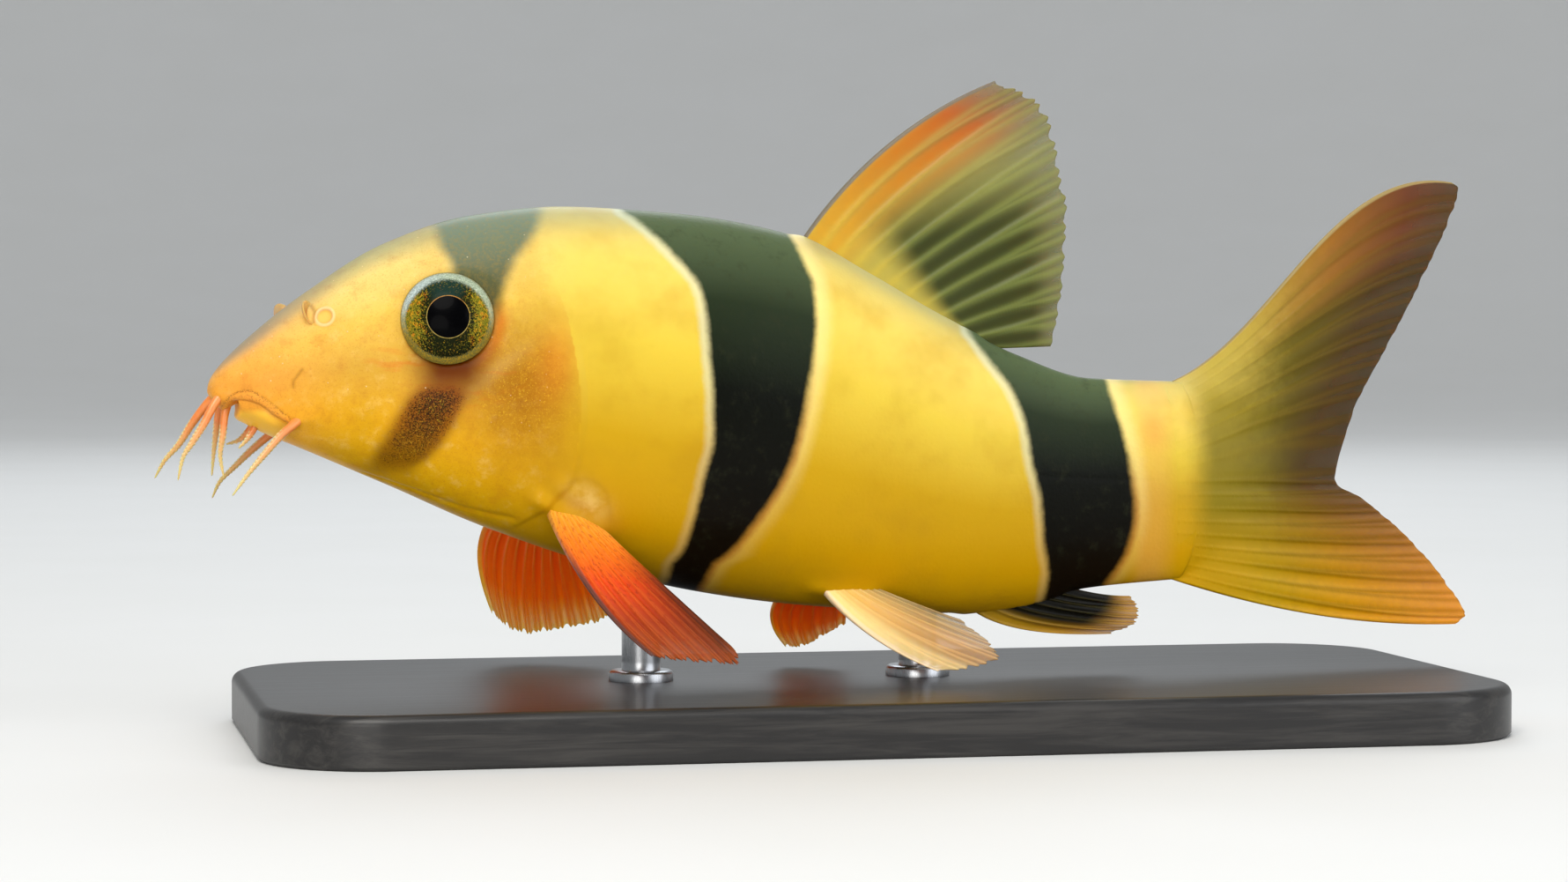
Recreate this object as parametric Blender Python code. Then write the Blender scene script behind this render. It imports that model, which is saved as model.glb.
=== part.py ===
# A life-size display model of a young clown loach, swimming, held on a flat base by two rods.
# The fish is modelled in its own frame: x runs from the snout tip to the tail, y to its right side
# and z up. An empty then carries it over the base, with its head towards -X and its left side to -Y.

import math

import bmesh
import bpy
import numpy as np
from mathutils import Vector

MM = 0.001
GAP = 0.3 * MM          # left between neighbouring pieces
NORMAL_STEP = 0.3       # in mm, how far round a point the skin's slope is measured
SHARP_EDGE = math.radians(45)

# Where the fish hangs over the base
SNOUT_PLACE = (-50.6 * MM, 0.0, 26.5 * MM)

# Body, measured behind the snout tip and above it, in mm:
# distance, back, belly, half width, height of the widest level
BODY_LENGTH = 76.5
STATIONS = (
    (0.0, 0.0, 0.0, 0.0, 0.0),
    (1.0, 2.0, -1.1, 2.1, 0.2),
    (3.0, 3.95, -2.6, 3.3, 0.3),
    (7.5, 7.5, -4.6, 4.5, 0.3),
    (13.5, 11.2, -7.2, 5.6, 0.1),
    (20.0, 13.3, -10.1, 6.6, -0.6),
    (27.0, 14.0, -12.7, 7.2, -1.8),
    (36.0, 13.5, -15.4, 7.2, -2.6),
    (45.0, 11.9, -16.8, 6.5, -3.6),
    (51.0, 8.9, -17.3, 5.7, -4.8),
    (57.0, 5.5, -17.7, 4.7, -6.2),
    (63.0, 2.6, -17.2, 3.6, -7.2),
    (69.0, 0.7, -15.9, 2.6, -7.7),
    (76.5, 0.4, -15.3, 1.35, -7.5),
)
# How square the section is above and below its widest level: 2 is an ellipse
BACK_POWER = ((0.0, 2.2), (20.0, 2.2), (36.0, 1.9), (76.5, 2.0))
BELLY_POWER = ((0.0, 2.4), (20.0, 2.3), (45.0, 2.2), (76.5, 2.0))
AROUND = 36             # points round each section
HEAD_ROWS = 24
TORSO_ROWS = 15
TAIL_ROWS = 5
TAIL_BULGE = 1.5        # the rounded end of the tail stem, in mm

# Rear edge of the gill cover: height above the snout, distance behind it, in mm
GILL_EDGE = (
    (-11.0, 21.5), (-8.7, 24.6), (-6.3, 26.6), (-1.0, 27.2), (5.0, 26.5), (9.0, 25.2), (14.0, 23.0))
GILL_REACH = 27.2       # furthest back that the edge comes
GILL_LIFT = ((-11.0, 0.0), (-8.5, 0.35), (3.0, 0.35), (7.0, 0.0), (14.0, 0.0))
GILL_TURN = 6           # the head's rings turn to the edge's own line late, as this power
GILL_SWELL = 14         # and the edge lifts off the body later still
TORSO_SETTLED = 44.0    # where the torso's sections stand upright again
STEM_START = 68.0       # where the tail stem is parted from the torso

# Eye: a lens that stands out of the head
EYE_BEHIND = 17.45
EYE_HEIGHT = 5.5
EYE_RADIUS = 3.5
EYE_DEPTH = 2.25
EYE_SINK = 0.55         # how far its middle lies under the skin
EYE_FACING = (-0.12, 0.965, 0.2)

# Mouth: the line between the lips, as distance behind the snout and height, from corner to front
MOUTH_LINE = ((5.9, -2.1), (4.6, -1.0), (2.9, -0.4), (2.2, -0.9))
MOUTH_FRONT = (1.9, -1.55)
UPPER_LIP = ((6.0, -1.7), (4.5, -0.4), (2.7, 0.2), (1.5, -0.2))
UPPER_LIP_FRONT = (1.25, -1.05)
LOWER_LIP = ((5.7, -2.6), (4.5, -1.7), (3.2, -1.2), (2.8, -1.9))
LOWER_LIP_FRONT = (2.55, -2.3)
LIP_RADIUS = 0.55
LIP_SINK = 0.25         # how far the middle of a lip lies under the skin
LIP_SWELL = (0.5, 0.9, 1.0, 1.0, 1.1, 1.0, 1.0, 0.9, 0.5)
MOUTH_CUT = 0.28        # radius of the cut between the lips, whose middle lies above the skin
MOUTH_CUT_RISE = 0.1
MOUTH_CUT_SWELL = (0.7, 1.0, 1.0, 1.2, 1.5, 1.2, 1.0, 1.0, 0.7)

# Nostrils: a round pit in a raised ring, behind a flap that stands up from the snout
NOSTRIL_BEHIND = 8.5
NOSTRIL_HEIGHT = 5.6
NOSTRIL_RADIUS = 0.5
NOSTRIL_DEPTH = 0.7
NOSTRIL_RIM = 0.22      # width of the ring
NOSTRIL_PROUD = 0.32    # height of the ring
FLAP_BEHIND = 7.3
FLAP_HEIGHT = 5.6
FLAP_RADIUS = 1.2
FLAP_THICKNESS = 0.3    # half of it, in the middle of the flap
FLAP_SINK = 0.35
FLAP_LEAN = 0.35        # forward, as a slope

# Barbels, in mm: a path from inside the snout to the tip, and the root's radius
BARBEL_TIP = 0.17
BARBEL_TAPER = (1.0, 1.0, 0.85, 0.6)    # its radius from root to tip, before the tip's own
BARBEL_FOOT = (1.5, 1.5, 1.2)   # the fleshy foot that a barbel grows from, against the barbel's own radius
BARBELS = {
    "barbel_rostral_outer_left": (0.45, (
        (1.4, -1.3, -0.1), (0.3, -1.8, -0.9), (-0.4, -2.2, -2.4), (-1.3, -2.6, -3.8), (-2.0, -2.9, -4.9),
        (-2.4, -3.2, -6.6))),
    "barbel_rostral_outer_right": (0.45, (
        (1.3, 1.3, -0.1), (0.1, 1.8, -1.0), (-1.1, 2.3, -2.5), (-2.0, 2.7, -4.1), (-3.1, 3.0, -5.4),
        (-3.8, 3.3, -6.7))),
    "barbel_rostral_inner_left": (0.42, (
        (1.5, -0.75, -0.6), (1.2, -0.95, -1.9), (1.05, -1.2, -3.3), (0.85, -1.4, -4.8), (1.1, -1.6, -6.5))),
    "barbel_rostral_inner_right": (0.42, (
        (1.3, 0.75, -0.6), (0.9, 0.95, -1.8), (0.75, 1.2, -2.8), (0.55, 1.4, -4.5), (0.4, 1.6, -6.5))),
    "barbel_maxillary_left": (0.45, (
        (7.2, -2.9, -1.6), (6.2, -3.9, -2.4), (5.2, -4.5, -3.2), (3.7, -5.2, -4.8), (2.5, -5.7, -6.2),
        (1.4, -6.2, -7.65))),
    "barbel_maxillary_right": (0.45, (
        (7.2, 2.9, -1.6), (6.2, 3.7, -2.6), (5.1, 4.2, -3.4), (3.7, 4.7, -4.6), (2.4, 5.2, -5.9),
        (1.2, 5.7, -7.2), (0.7, 6.2, -8.4))),
    "barbel_mandibular_left": (0.36, (
        (3.9, -1.0, -1.7), (3.3, -1.2, -3.0), (2.8, -1.4, -3.7), (2.2, -1.6, -4.3))),
    "barbel_mandibular_right": (0.36, (
        (3.9, 1.0, -1.7), (3.2, 1.2, -3.0), (2.4, 1.5, -3.8), (1.5, 1.8, -4.1))),
}

# Fins, in mm
FIN_SINK = 1.0          # how far a fin's root starts inside the body
FIN_EDGE = 0.5          # membrane thickness at the margin
RAY_RIDGE = 0.24        # height of a ray above the membrane at its root, on each face
RAY_TAPER = 0.4         # share of that height lost towards the tip
EDGE_RIDGE = 0.5        # share of that height on the first and last ray
RAY_SIDES = (0.32, 0.68)    # where the membrane lies flat between one ray and the next
RAY_NOTCH = 0.015       # share of the length by which the membrane stops short of the ray tips
DORSAL_BASE = (45.3, 59.9)
ANAL_BASE = (58.6, 66.3)
PECTORAL_BASE = ((24.6, -8.6), (28.4, -10.6))
PELVIC_BASE = ((46.3, -15.6), (50.0, -15.9))
TAIL_SWAY = 1.2         # sideways bend of the tail fin at its tips
TAIL_LENGTH = 26.0

# Stand
BASE_SIZE = (96.0 * MM, 44.0 * MM, 4.0 * MM)
BASE_CORNER = 9.0 * MM
BASE_BEVEL = 0.8 * MM
ROD_RADIUS = 1.5 * MM
ROD_SIDES = 20
ROD_PLACES = {"stand_rod_front": -17.5 * MM, "stand_rod_rear": 4.5 * MM}

# Colours, linear RGB
FLANK = (0.83, 0.46, 0.04)
HEAD_COLOUR = (0.85, 0.42, 0.05)
DARK = (0.012, 0.014, 0.01)
ORANGE = (0.75, 0.16, 0.02)
RED = (0.62, 0.07, 0.02)
OLIVE = (0.45, 0.30, 0.06)
PINK = (0.80, 0.40, 0.20)
BASE_COLOUR = (0.03, 0.03, 0.032)
ROD_COLOUR = (0.55, 0.55, 0.56)

# Roughness of each finish
SKIN_GLOSS = 0.35
EYE_GLOSS = 0.1
FIN_GLOSS = 0.4
BASE_GLOSS = 0.3
ROD_GLOSS = 0.25


for thing in list(bpy.data.objects):
    bpy.data.objects.remove(thing)


# Curves

def curve(points):
    """A smooth function through (at, value) pairs that doesn't overshoot them."""
    x, y = np.array(points, float).T
    step = np.diff(x)
    slope = np.diff(y) / step
    tangent = np.zeros_like(y)
    tangent[0], tangent[-1] = slope[0], slope[-1]
    for i in range(1, len(x) - 1):
        if slope[i - 1] * slope[i] > 0:
            ahead = 2 * step[i] + step[i - 1]
            behind = step[i] + 2 * step[i - 1]
            tangent[i] = (ahead + behind) / (ahead / slope[i - 1] + behind / slope[i])

    def value(at):
        at = min(max(at, x[0]), x[-1])
        i = min(max(int(np.searchsorted(x, at)) - 1, 0), len(step) - 1)
        f = (at - x[i]) / step[i]
        g = 1 - f
        blend = y[i] * g * g * (1 + 2 * f) + y[i + 1] * f * f * (1 + 2 * g)
        return float(blend + step[i] * f * g * (tangent[i] * g - tangent[i + 1] * f))

    return value


def route(points):
    """A smooth curve in space through (share, (x, y, z)) pairs."""
    parts = [curve([(share, point[k]) for share, point in points]) for k in range(3)]
    return lambda share: Vector([part(share) for part in parts])


def even_route(points):
    """A smooth curve in space through points that stand about evenly along it."""
    last = len(points) - 1
    return route([(i / last, point) for i, point in enumerate(points)])


# The stations are read over the square root of the distance, which rounds the snout off bluntly
ROOTED = [(math.sqrt(row[0] / BODY_LENGTH), row) for row in STATIONS]
BACK, BELLY, WIDTH, LEVEL = [curve([(t, row[k]) for t, row in ROOTED]) for k in range(1, 5)]
UPPER, LOWER = curve(BACK_POWER), curve(BELLY_POWER)
EDGE, LIFT = curve(GILL_EDGE), curve(GILL_LIFT)


# The body's form

def section(behind):
    """Back, belly, half width, widest level and the two powers at a distance behind the snout."""
    t = math.sqrt(max(behind, 0.0) / BODY_LENGTH)
    return BACK(t), BELLY(t), WIDTH(t), LEVEL(t), UPPER(behind), LOWER(behind)


def ring_point(behind, angle):
    """A point on the skin, in mm: angle 0 is the right side, 90 degrees is the back."""
    back, belly, width, level, upper, lower = section(behind)
    across, up = math.cos(angle), math.sin(angle)
    power = upper if up > 0 else lower
    reach = back - level if up > 0 else level - belly
    y = width * math.copysign(abs(across) ** (2 / power), across)
    return Vector((behind, y, level + math.copysign(reach * abs(up) ** (2 / power), up)))


def flank(behind, height):
    """Half width of the skin at a height, in mm."""
    back, belly, width, level, upper, lower = section(behind)
    power = upper if height > level else lower
    reach = back - level if height > level else level - belly
    share = min(abs(height - level) / reach, 1.0)
    return width * (1 - share ** power) ** (1 / power)


def side_point(behind, height, side):
    """A point on the skin at a height, in mm: side is 1 for the right and -1 for the left."""
    return Vector((behind, side * flank(behind, height), height))


def side_normal(behind, height, side):
    """The way out of the skin there."""
    d = NORMAL_STEP
    along = side_point(behind + d, height, side) - side_point(behind - d, height, side)
    up = side_point(behind, height + d, side) - side_point(behind, height - d, side)
    out = along.cross(up) * -side
    return out.normalized()


def head_ring(row):
    """A ring of the head. The last one lies along the gill cover's rear edge, which stands proud."""
    share = row / HEAD_ROWS
    behind = GILL_REACH * share * share
    ring = []
    for angle in angles():
        height = ring_point(behind, angle).z
        point = ring_point(behind + (EDGE(height) - GILL_REACH) * share ** GILL_TURN, angle)
        outward = math.cos(angle)
        point.y += math.copysign(LIFT(height) * share ** GILL_SWELL, outward) * min(1.0, 2 * abs(outward))
        ring.append(point)
    return ring


def torso_ring(row, gap):
    """A ring of the torso. The first one lies along the gill cover's edge."""
    share = row / TORSO_ROWS
    start = GILL_REACH + gap
    behind = start + (STEM_START - start) * share
    lean = max(0.0, 1 - (behind - start) / (TORSO_SETTLED - start)) ** 2
    ring = []
    for angle in angles():
        height = ring_point(behind, angle).z
        ring.append(ring_point(behind + (EDGE(height) - GILL_REACH) * lean, angle))
    return ring


def stem_ring(row, gap):
    """A ring of the tail stem. The last one is bowed, where the tail fin grows."""
    share = row / TAIL_ROWS
    start = STEM_START + gap
    behind = start + (BODY_LENGTH - start) * share
    back, belly = section(behind)[:2]
    middle, half = (back + belly) / 2, (back - belly) / 2
    ring = [ring_point(behind, angle) for angle in angles()]
    for point in ring:
        point.x += TAIL_BULGE * share ** 3 * (1 - ((point.z - middle) / half) ** 2)
    return ring


def angles():
    """From the belly up the right side, over the back and down the left side."""
    return [math.radians(-90 + 360 * k / AROUND) for k in range(AROUND)]


# Meshes

def solid(name, verts, faces):
    """A closed mesh object from points in mm."""
    mesh = bpy.data.meshes.new(name)
    mesh.from_pydata([Vector(v) * MM for v in verts], [], faces)
    edit = bmesh.new()
    edit.from_mesh(mesh)
    bmesh.ops.recalc_face_normals(edit, faces=edit.faces)
    edit.to_mesh(mesh)
    edit.free()
    piece = bpy.data.objects.new(name, mesh)
    bpy.context.scene.collection.objects.link(piece)
    return piece


def loft(name, rings):
    """A closed skin over rings. A first ring of one point is a pole; other ends are flat caps."""
    verts = [point for ring in rings for point in ring]
    faces = []
    start = 0
    for ring, following in zip(rings, rings[1:]):
        after = start + len(ring)
        for k in range(AROUND):
            k1 = (k + 1) % AROUND
            if len(ring) == 1:
                faces.append((start, after + k1, after + k))
            else:
                faces.append((start + k, start + k1, after + k1))
                faces.append((start + k, after + k1, after + k))
        start = after
    if len(rings[0]) > 1:
        faces += ladder(0)
    faces += ladder(start)
    return solid(name, verts, faces)


def ladder(start):
    """Triangles across a ring from its right side to its left side."""
    faces = []
    half = AROUND // 2
    for k in range(half):
        left, left1 = (AROUND - k) % AROUND, AROUND - k - 1
        if left != k:
            faces.append((start + k, start + k + 1, start + left))
        if k + 1 != left1:
            faces.append((start + k + 1, start + left1, start + left))
    return faces


def tube(name, path, radii, sides, steps):
    """A closed round tube along a smooth path through points in mm, with tapered ends."""
    line, size = even_route(path), even_curve(radii)
    middle = [line(i / steps) for i in range(steps + 1)]
    verts = [middle[0]]
    reference = Vector((0.0, 1.0, 0.0))
    for i, point in enumerate(middle):
        ahead = (middle[min(i + 1, steps)] - middle[max(i - 1, 0)]).normalized()
        across = (reference - ahead * reference.dot(ahead)).normalized()
        reference = across
        up = ahead.cross(across)
        for k in range(sides):
            turn = math.tau * k / sides
            verts.append(point + (across * math.cos(turn) + up * math.sin(turn)) * size(i / steps))
    verts.append(middle[-1])
    last = len(verts) - 1
    faces = []
    for k in range(sides):
        k1 = (k + 1) % sides
        faces.append((0, 1 + k1, 1 + k))
        faces.append((last, last - sides + k, last - sides + k1))
        for i in range(steps):
            a, b = 1 + i * sides, 1 + (i + 1) * sides
            faces.append((a + k, a + k1, b + k1))
            faces.append((a + k, b + k1, b + k))
    return solid(name, verts, faces)


def even_curve(values):
    """A smooth function through values that stand evenly from 0 to 1."""
    last = len(values) - 1
    return curve([(i / last, value) for i, value in enumerate(values)])


def ball(name, centre, axis, radius, depth, segments, rings):
    """A round lens about an axis, from sizes in mm: radius across it and depth along it."""
    turn = Vector(axis).to_track_quat("Z", "Y")
    verts = [Vector((0, 0, depth))]
    for j in range(1, rings):
        fall = math.pi * j / rings
        for k in range(segments):
            around = math.tau * k / segments
            flat = radius * math.sin(fall)
            verts.append(Vector((flat * math.cos(around), flat * math.sin(around), depth * math.cos(fall))))
    verts.append(Vector((0, 0, -depth)))
    last = len(verts) - 1
    faces = []
    for k in range(segments):
        k1 = (k + 1) % segments
        faces.append((0, 1 + k, 1 + k1))
        faces.append((last, last - segments + k1, last - segments + k))
        for j in range(rings - 2):
            a, b = 1 + j * segments, 1 + (j + 1) * segments
            faces.append((a + k, b + k, b + k1))
            faces.append((a + k, b + k1, a + k1))
    return solid(name, [Vector(centre) + turn @ v for v in verts], faces)


def swell(piece, distance):
    """Moves the skin of a piece outward."""
    piece.data.update()
    shift = [(v.co.copy(), v.normal.copy()) for v in piece.data.vertices]
    for v, (place, normal) in zip(piece.data.vertices, shift):
        v.co = place + normal * distance
    return piece


def combine(piece, others, operation):
    """Applies one Boolean with all the other pieces, and removes them."""
    group = bpy.data.collections.new("others")
    bpy.context.scene.collection.children.link(group)
    for other in others:
        bpy.context.scene.collection.objects.unlink(other)
        group.objects.link(other)
    change = piece.modifiers.new("change", "BOOLEAN")
    change.operation = operation
    change.operand_type = "COLLECTION"
    change.collection = group
    change.solver = "EXACT"
    bake(piece)
    for other in others:
        bpy.data.objects.remove(other)
    bpy.data.collections.remove(group)
    return keep_largest(piece)


def bake(piece):
    """Applies the modifiers of a piece."""
    graph = bpy.context.evaluated_depsgraph_get()
    mesh = bpy.data.meshes.new_from_object(piece.evaluated_get(graph))
    piece.modifiers.clear()
    piece.data = mesh


def keep_largest(piece):
    """Drops the loose scraps and sealed hollows that a cut leaves."""
    edit = bmesh.new()
    edit.from_mesh(piece.data)
    unseen = set(edit.faces)
    shells = []
    while unseen:
        shell, front = set(), [unseen.pop()]
        while front:
            face = front.pop()
            shell.add(face)
            for edge in face.edges:
                for neighbour in edge.link_faces:
                    if neighbour in unseen:
                        unseen.discard(neighbour)
                        front.append(neighbour)
        shells.append(shell)
    shells.sort(key=span, reverse=True)
    for shell in shells[1:]:
        bmesh.ops.delete(edit, geom=list(shell), context="FACES")
    edit.to_mesh(piece.data)
    edit.free()
    return piece


def span(shell):
    """Volume inside a shell of faces."""
    total = 0.0
    for face in shell:
        corners = [v.co for v in face.verts]
        for b, c in zip(corners[1:], corners[2:]):
            total += corners[0].dot(b.cross(c)) / 6
    return abs(total)


def finish(piece, colour, roughness, parent, metallic=0.0):
    """Shading, a material of its own, and the empty that carries the piece."""
    material = bpy.data.materials.new(piece.name + "_finish")
    material.use_nodes = True
    shader = material.node_tree.nodes["Principled BSDF"]
    shader.inputs["Base Color"].default_value = (*colour, 1.0)
    shader.inputs["Roughness"].default_value = roughness
    shader.inputs["Metallic"].default_value = metallic
    piece.data.materials.clear()
    piece.data.materials.append(material)
    piece.data.shade_smooth()
    piece.data.set_sharp_from_angle(angle=SHARP_EDGE)
    piece.parent = parent
    return piece


# Head, torso and tail stem

def body_rings(gap):
    """The rings of the three lengths of the body."""
    head = [[Vector((0.0, 0.0, 0.0))]] + [head_ring(row) for row in range(1, HEAD_ROWS + 1)]
    torso = [torso_ring(row, gap) for row in range(TORSO_ROWS + 1)]
    stem = [stem_ring(row, gap) for row in range(TAIL_ROWS + 1)]
    return head, torso, stem


def clear_body():
    """The whole body and lips, larger by the gap: whatever grows from them is cut back to it."""
    head, torso, stem = body_rings(0.0)
    body = swell(loft("clear_body", head + torso[1:] + stem[1:]), GAP)
    return [body] + [swell(piece, GAP) for piece in mouth_forms("clear")]


def mouth_forms(tag):
    """Both lips, the fleshy roots of the snout's barbels, and those at the corners of the mouth."""
    forms = []
    radii = [LIP_RADIUS * share for share in LIP_SWELL]
    for line, front in ((UPPER_LIP, UPPER_LIP_FRONT), (LOWER_LIP, LOWER_LIP_FRONT)):
        forms.append(tube(f"{tag}_lip", horseshoe(line, front, LIP_SINK), radii, 8, 16))
    for name in BARBELS:
        if "mandibular" in name:
            continue
        radius, path = BARBELS[name]
        inner, outer = Vector(path[0]), Vector(path[1])
        reach = [inner, inner.lerp(outer, 0.5), inner.lerp(outer, 0.85)]
        forms.append(tube(f"{tag}_{name}_foot", reach, [radius * k for k in BARBEL_FOOT], 8, 3))
    return forms


def horseshoe(line, front, sink):
    """A path from the left corner of the mouth round the front to the right corner."""
    left = [side_point(*place, -1) - side_normal(*place, -1) * sink for place in line]
    right = [side_point(*place, 1) - side_normal(*place, 1) * sink for place in line]
    return left + [Vector((front[0] + sink, 0.0, front[1]))] + right[::-1]


def nostril(side):
    """A ring and a flap to add, and a pit to cut."""
    place = (NOSTRIL_BEHIND, NOSTRIL_HEIGHT)
    out, centre = side_normal(*place, side), side_point(*place, side)
    ring = ball(f"ring_{side}", centre, out, NOSTRIL_RADIUS + NOSTRIL_RIM, NOSTRIL_PROUD, 12, 6)
    bottom, top = centre - out * NOSTRIL_DEPTH, centre + out
    pit = tube(f"pit_{side}", [bottom, centre, top], [NOSTRIL_RADIUS] * 3, 12, 2)
    place = (FLAP_BEHIND, FLAP_HEIGHT)
    out, foot = side_normal(*place, side), side_point(*place, side)
    forward = Vector((-1.0, 0.0, 0.0)) + out * out.x
    facing = forward.normalized() - out * FLAP_LEAN
    flap = ball(f"flap_{side}", foot - out * FLAP_SINK, facing, FLAP_RADIUS, FLAP_THICKNESS, 16, 6)
    return [ring, flap], [pit]


def eye_parts(name, extra):
    """An eyeball for each side, larger by the extra."""
    balls = []
    for label, side in (("left", -1), ("right", 1)):
        facing = Vector((EYE_FACING[0], EYE_FACING[1] * side, EYE_FACING[2])).normalized()
        centre = side_point(EYE_BEHIND, EYE_HEIGHT, side) - facing * EYE_SINK
        balls.append(ball(f"{name}_{label}", centre, facing, EYE_RADIUS + extra, EYE_DEPTH + extra, 24, 10))
    return balls


def build_body(parent):
    head_rings, torso_rings, stem_rings = body_rings(GAP / MM)
    head = loft("head", head_rings)
    added, cutters = mouth_forms("head"), eye_parts("socket", GAP / MM)
    for side in (-1, 1):
        more, pits = nostril(side)
        added += more
        cutters += pits
    mouth = horseshoe(MOUTH_LINE, MOUTH_FRONT, -MOUTH_CUT_RISE)
    cutters.append(tube("mouth_line", mouth, [MOUTH_CUT * share for share in MOUTH_CUT_SWELL], 6, 24))
    combine(head, added, "UNION")
    combine(head, cutters, "DIFFERENCE")
    finish(head, HEAD_COLOUR, SKIN_GLOSS, parent)
    finish(loft("torso", torso_rings), FLANK, SKIN_GLOSS, parent)
    finish(loft("tail_stem", stem_rings), FLANK, SKIN_GLOSS, parent)
    for eye in eye_parts("eye", 0.0):
        finish(eye, DARK, EYE_GLOSS, parent)


def build_barbels(parent):
    for name, (radius, path) in BARBELS.items():
        radii = [radius * share for share in BARBEL_TAPER] + [BARBEL_TIP]
        barbel = tube(name, path, radii, 8, 12)
        combine(barbel, clear_body(), "DIFFERENCE")
        finish(barbel, ORANGE, FIN_GLOSS, parent)


# Fins

def fin(name, rays, rows, root, tip, bow, root_thickness):
    """A fin of ridged rays from sizes in mm. Root and tip are lines of points across the fin, from the
    leading ray to the last, and bow bends each ray off its straight line: near its root, near its tip.
    The root's thickness is given at the leading ray, in the middle and at the last ray."""
    root_line, tip_line, thickness = route(root), route(tip), even_curve(root_thickness)
    near = route([(share, inner) for share, inner, outer in bow])
    far = route([(share, outer) for share, inner, outer in bow])
    columns = [place / (rays - 1) for place in across_rays(rays)]
    middle = np.zeros((len(columns), rows + 1, 3))
    half = np.zeros((len(columns), rows + 1))
    for i, share in enumerate(columns):
        a, d = root_line(share), tip_line(share)
        b = a.lerp(d, 1 / 3) + near(share)
        c = a.lerp(d, 2 / 3) + far(share)
        on_ray = i % 3 == 0
        for j in range(rows + 1):
            t = j / rows * (1.0 if on_ray else 1 - RAY_NOTCH)
            s = 1 - t
            middle[i, j] = a * s ** 3 + b * (3 * s * s * t) + c * (3 * s * t * t) + d * t ** 3
            half[i, j] = (FIN_EDGE + (thickness(share) - FIN_EDGE) * s ** 1.5) / 2
            if on_ray:
                outer = i in (0, len(columns) - 1)
                half[i, j] += RAY_RIDGE * (1 - RAY_TAPER * t) * (EDGE_RIDGE if outer else 1.0)
    normal = np.cross(np.gradient(middle, axis=0), np.gradient(middle, axis=1)).sum(axis=(0, 1))
    thick = half[..., None] * normal / np.linalg.norm(normal)
    verts = [Vector(p) for face in (middle + thick, middle - thick) for p in face.reshape(-1, 3)]
    return solid(name, verts, pillow(len(columns), rows + 1))


def across_rays(rays):
    """The places of a fin's columns, counted in rays: one on each ray, two on the membrane after it."""
    places = [0.0]
    for ray in range(rays - 1):
        places += [ray + RAY_SIDES[0], ray + RAY_SIDES[1], ray + 1.0]
    return places


def pillow(columns, rows):
    """Faces of two like grids, one over the other, joined round their edge."""
    back = columns * rows
    faces = []
    for i in range(columns - 1):
        for j in range(rows - 1):
            a, b = i * rows + j, (i + 1) * rows + j
            faces += [(a, b, b + 1), (a, b + 1, a + 1)]
            faces += [(back + a, back + b + 1, back + b), (back + a, back + a + 1, back + b + 1)]
    rim = [i * rows for i in range(columns)]
    rim += [(columns - 1) * rows + j for j in range(1, rows)]
    rim += [i * rows + rows - 1 for i in range(columns - 2, -1, -1)]
    rim += list(range(rows - 2, 0, -1))
    for a, b in zip(rim, rim[1:] + rim[:1]):
        faces += [(a, back + a, back + b), (a, back + b, b)]
    return faces


def profile_root(base, edge, sink):
    """A fin's root line along the back or belly, inside the body."""
    places = [base[0] + (base[1] - base[0]) * k / 4 for k in range(5)]
    return [(k / 4, (place, 0.0, edge(math.sqrt(place / BODY_LENGTH)) + sink))
            for k, place in enumerate(places)]


def side_root(front, rear, side):
    """A paired fin's root line, inside the body's side."""
    line = []
    for share in (0.0, 0.5, 1.0):
        place = Vector(front).lerp(Vector(rear), share)
        line.append((share, side_point(*place, side) - side_normal(*place, side) * FIN_SINK))
    return line


def sway(line):
    """Bends points of the tail fin sideways, more towards the tips."""
    return [(share, (x, TAIL_SWAY * ((x - BODY_LENGTH) / TAIL_LENGTH) ** 2 if x > BODY_LENGTH else 0.0, z))
            for share, (x, z) in line]


def dorsal_fin():
    tip = ((0.0, (61.35, 0, 24.1)), (0.1, (63.7, 0, 23.4)), (0.2, (65.3, 0, 22.3)), (0.35, (66.4, 0, 19.2)),
           (0.6, (67.2, 0, 13.2)), (0.8, (66.8, 0, 8.0)), (1.0, (66.0, 0, 3.2)))
    bow = ((0.0, (-1.3, 0, 1.7), (-1.1, 0, 1.9)), (0.4, (-0.4, 0, 0.8), (0, 0, 0.6)),
           (1.0, (0, 0, 0), (0, 0, 0)))
    root = profile_root(DORSAL_BASE, BACK, -FIN_SINK)
    return fin("dorsal_fin", 10, 9, root, tip, bow, (0.8, 1.2, 0.7))


def anal_fin():
    tip = ((0.0, (71.0, 0, -19.7)), (0.35, (73.1, 0, -18.7)), (0.7, (73.4, 0, -17.6)),
           (1.0, (72.6, 0, -16.6)))
    bow = ((0.0, (-2.0, 0, -1.6), (-0.8, 0, -1.1)), (0.5, (-0.6, 0, -0.6), (-0.2, 0, -0.5)),
           (1.0, (0, 0, -0.3), (0, 0, -0.4)))
    root = profile_root(ANAL_BASE, BELLY, FIN_SINK)
    return fin("anal_fin", 7, 8, root, tip, bow, (0.7, 1.1, 0.7))


def tail_fin_upper():
    root = ((0.0, (75.0, 0.2)), (0.5, (75.6, -3.2)), (1.0, (76.2, -7.25)))
    tip = ((0.0, (100.0, 16.4)), (0.1, (100.2, 15.2)), (0.3, (98.3, 10.6)), (0.6, (94.7, 3.9)),
           (0.85, (91.3, -2.0)), (1.0, (89.6, -7.15)))
    bow = ((0.0, (1.0, 0, -1.6), (-2.6, 0, 3.2)), (0.3, (0.2, 0, -0.5), (-1.0, 0, 1.2)),
           (1.0, (0, 0, 0), (0, 0, 0)))
    return fin("tail_fin_upper", 9, 9, sway(root), sway(tip), bow, (0.8, 1.8, 1.9))


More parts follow.
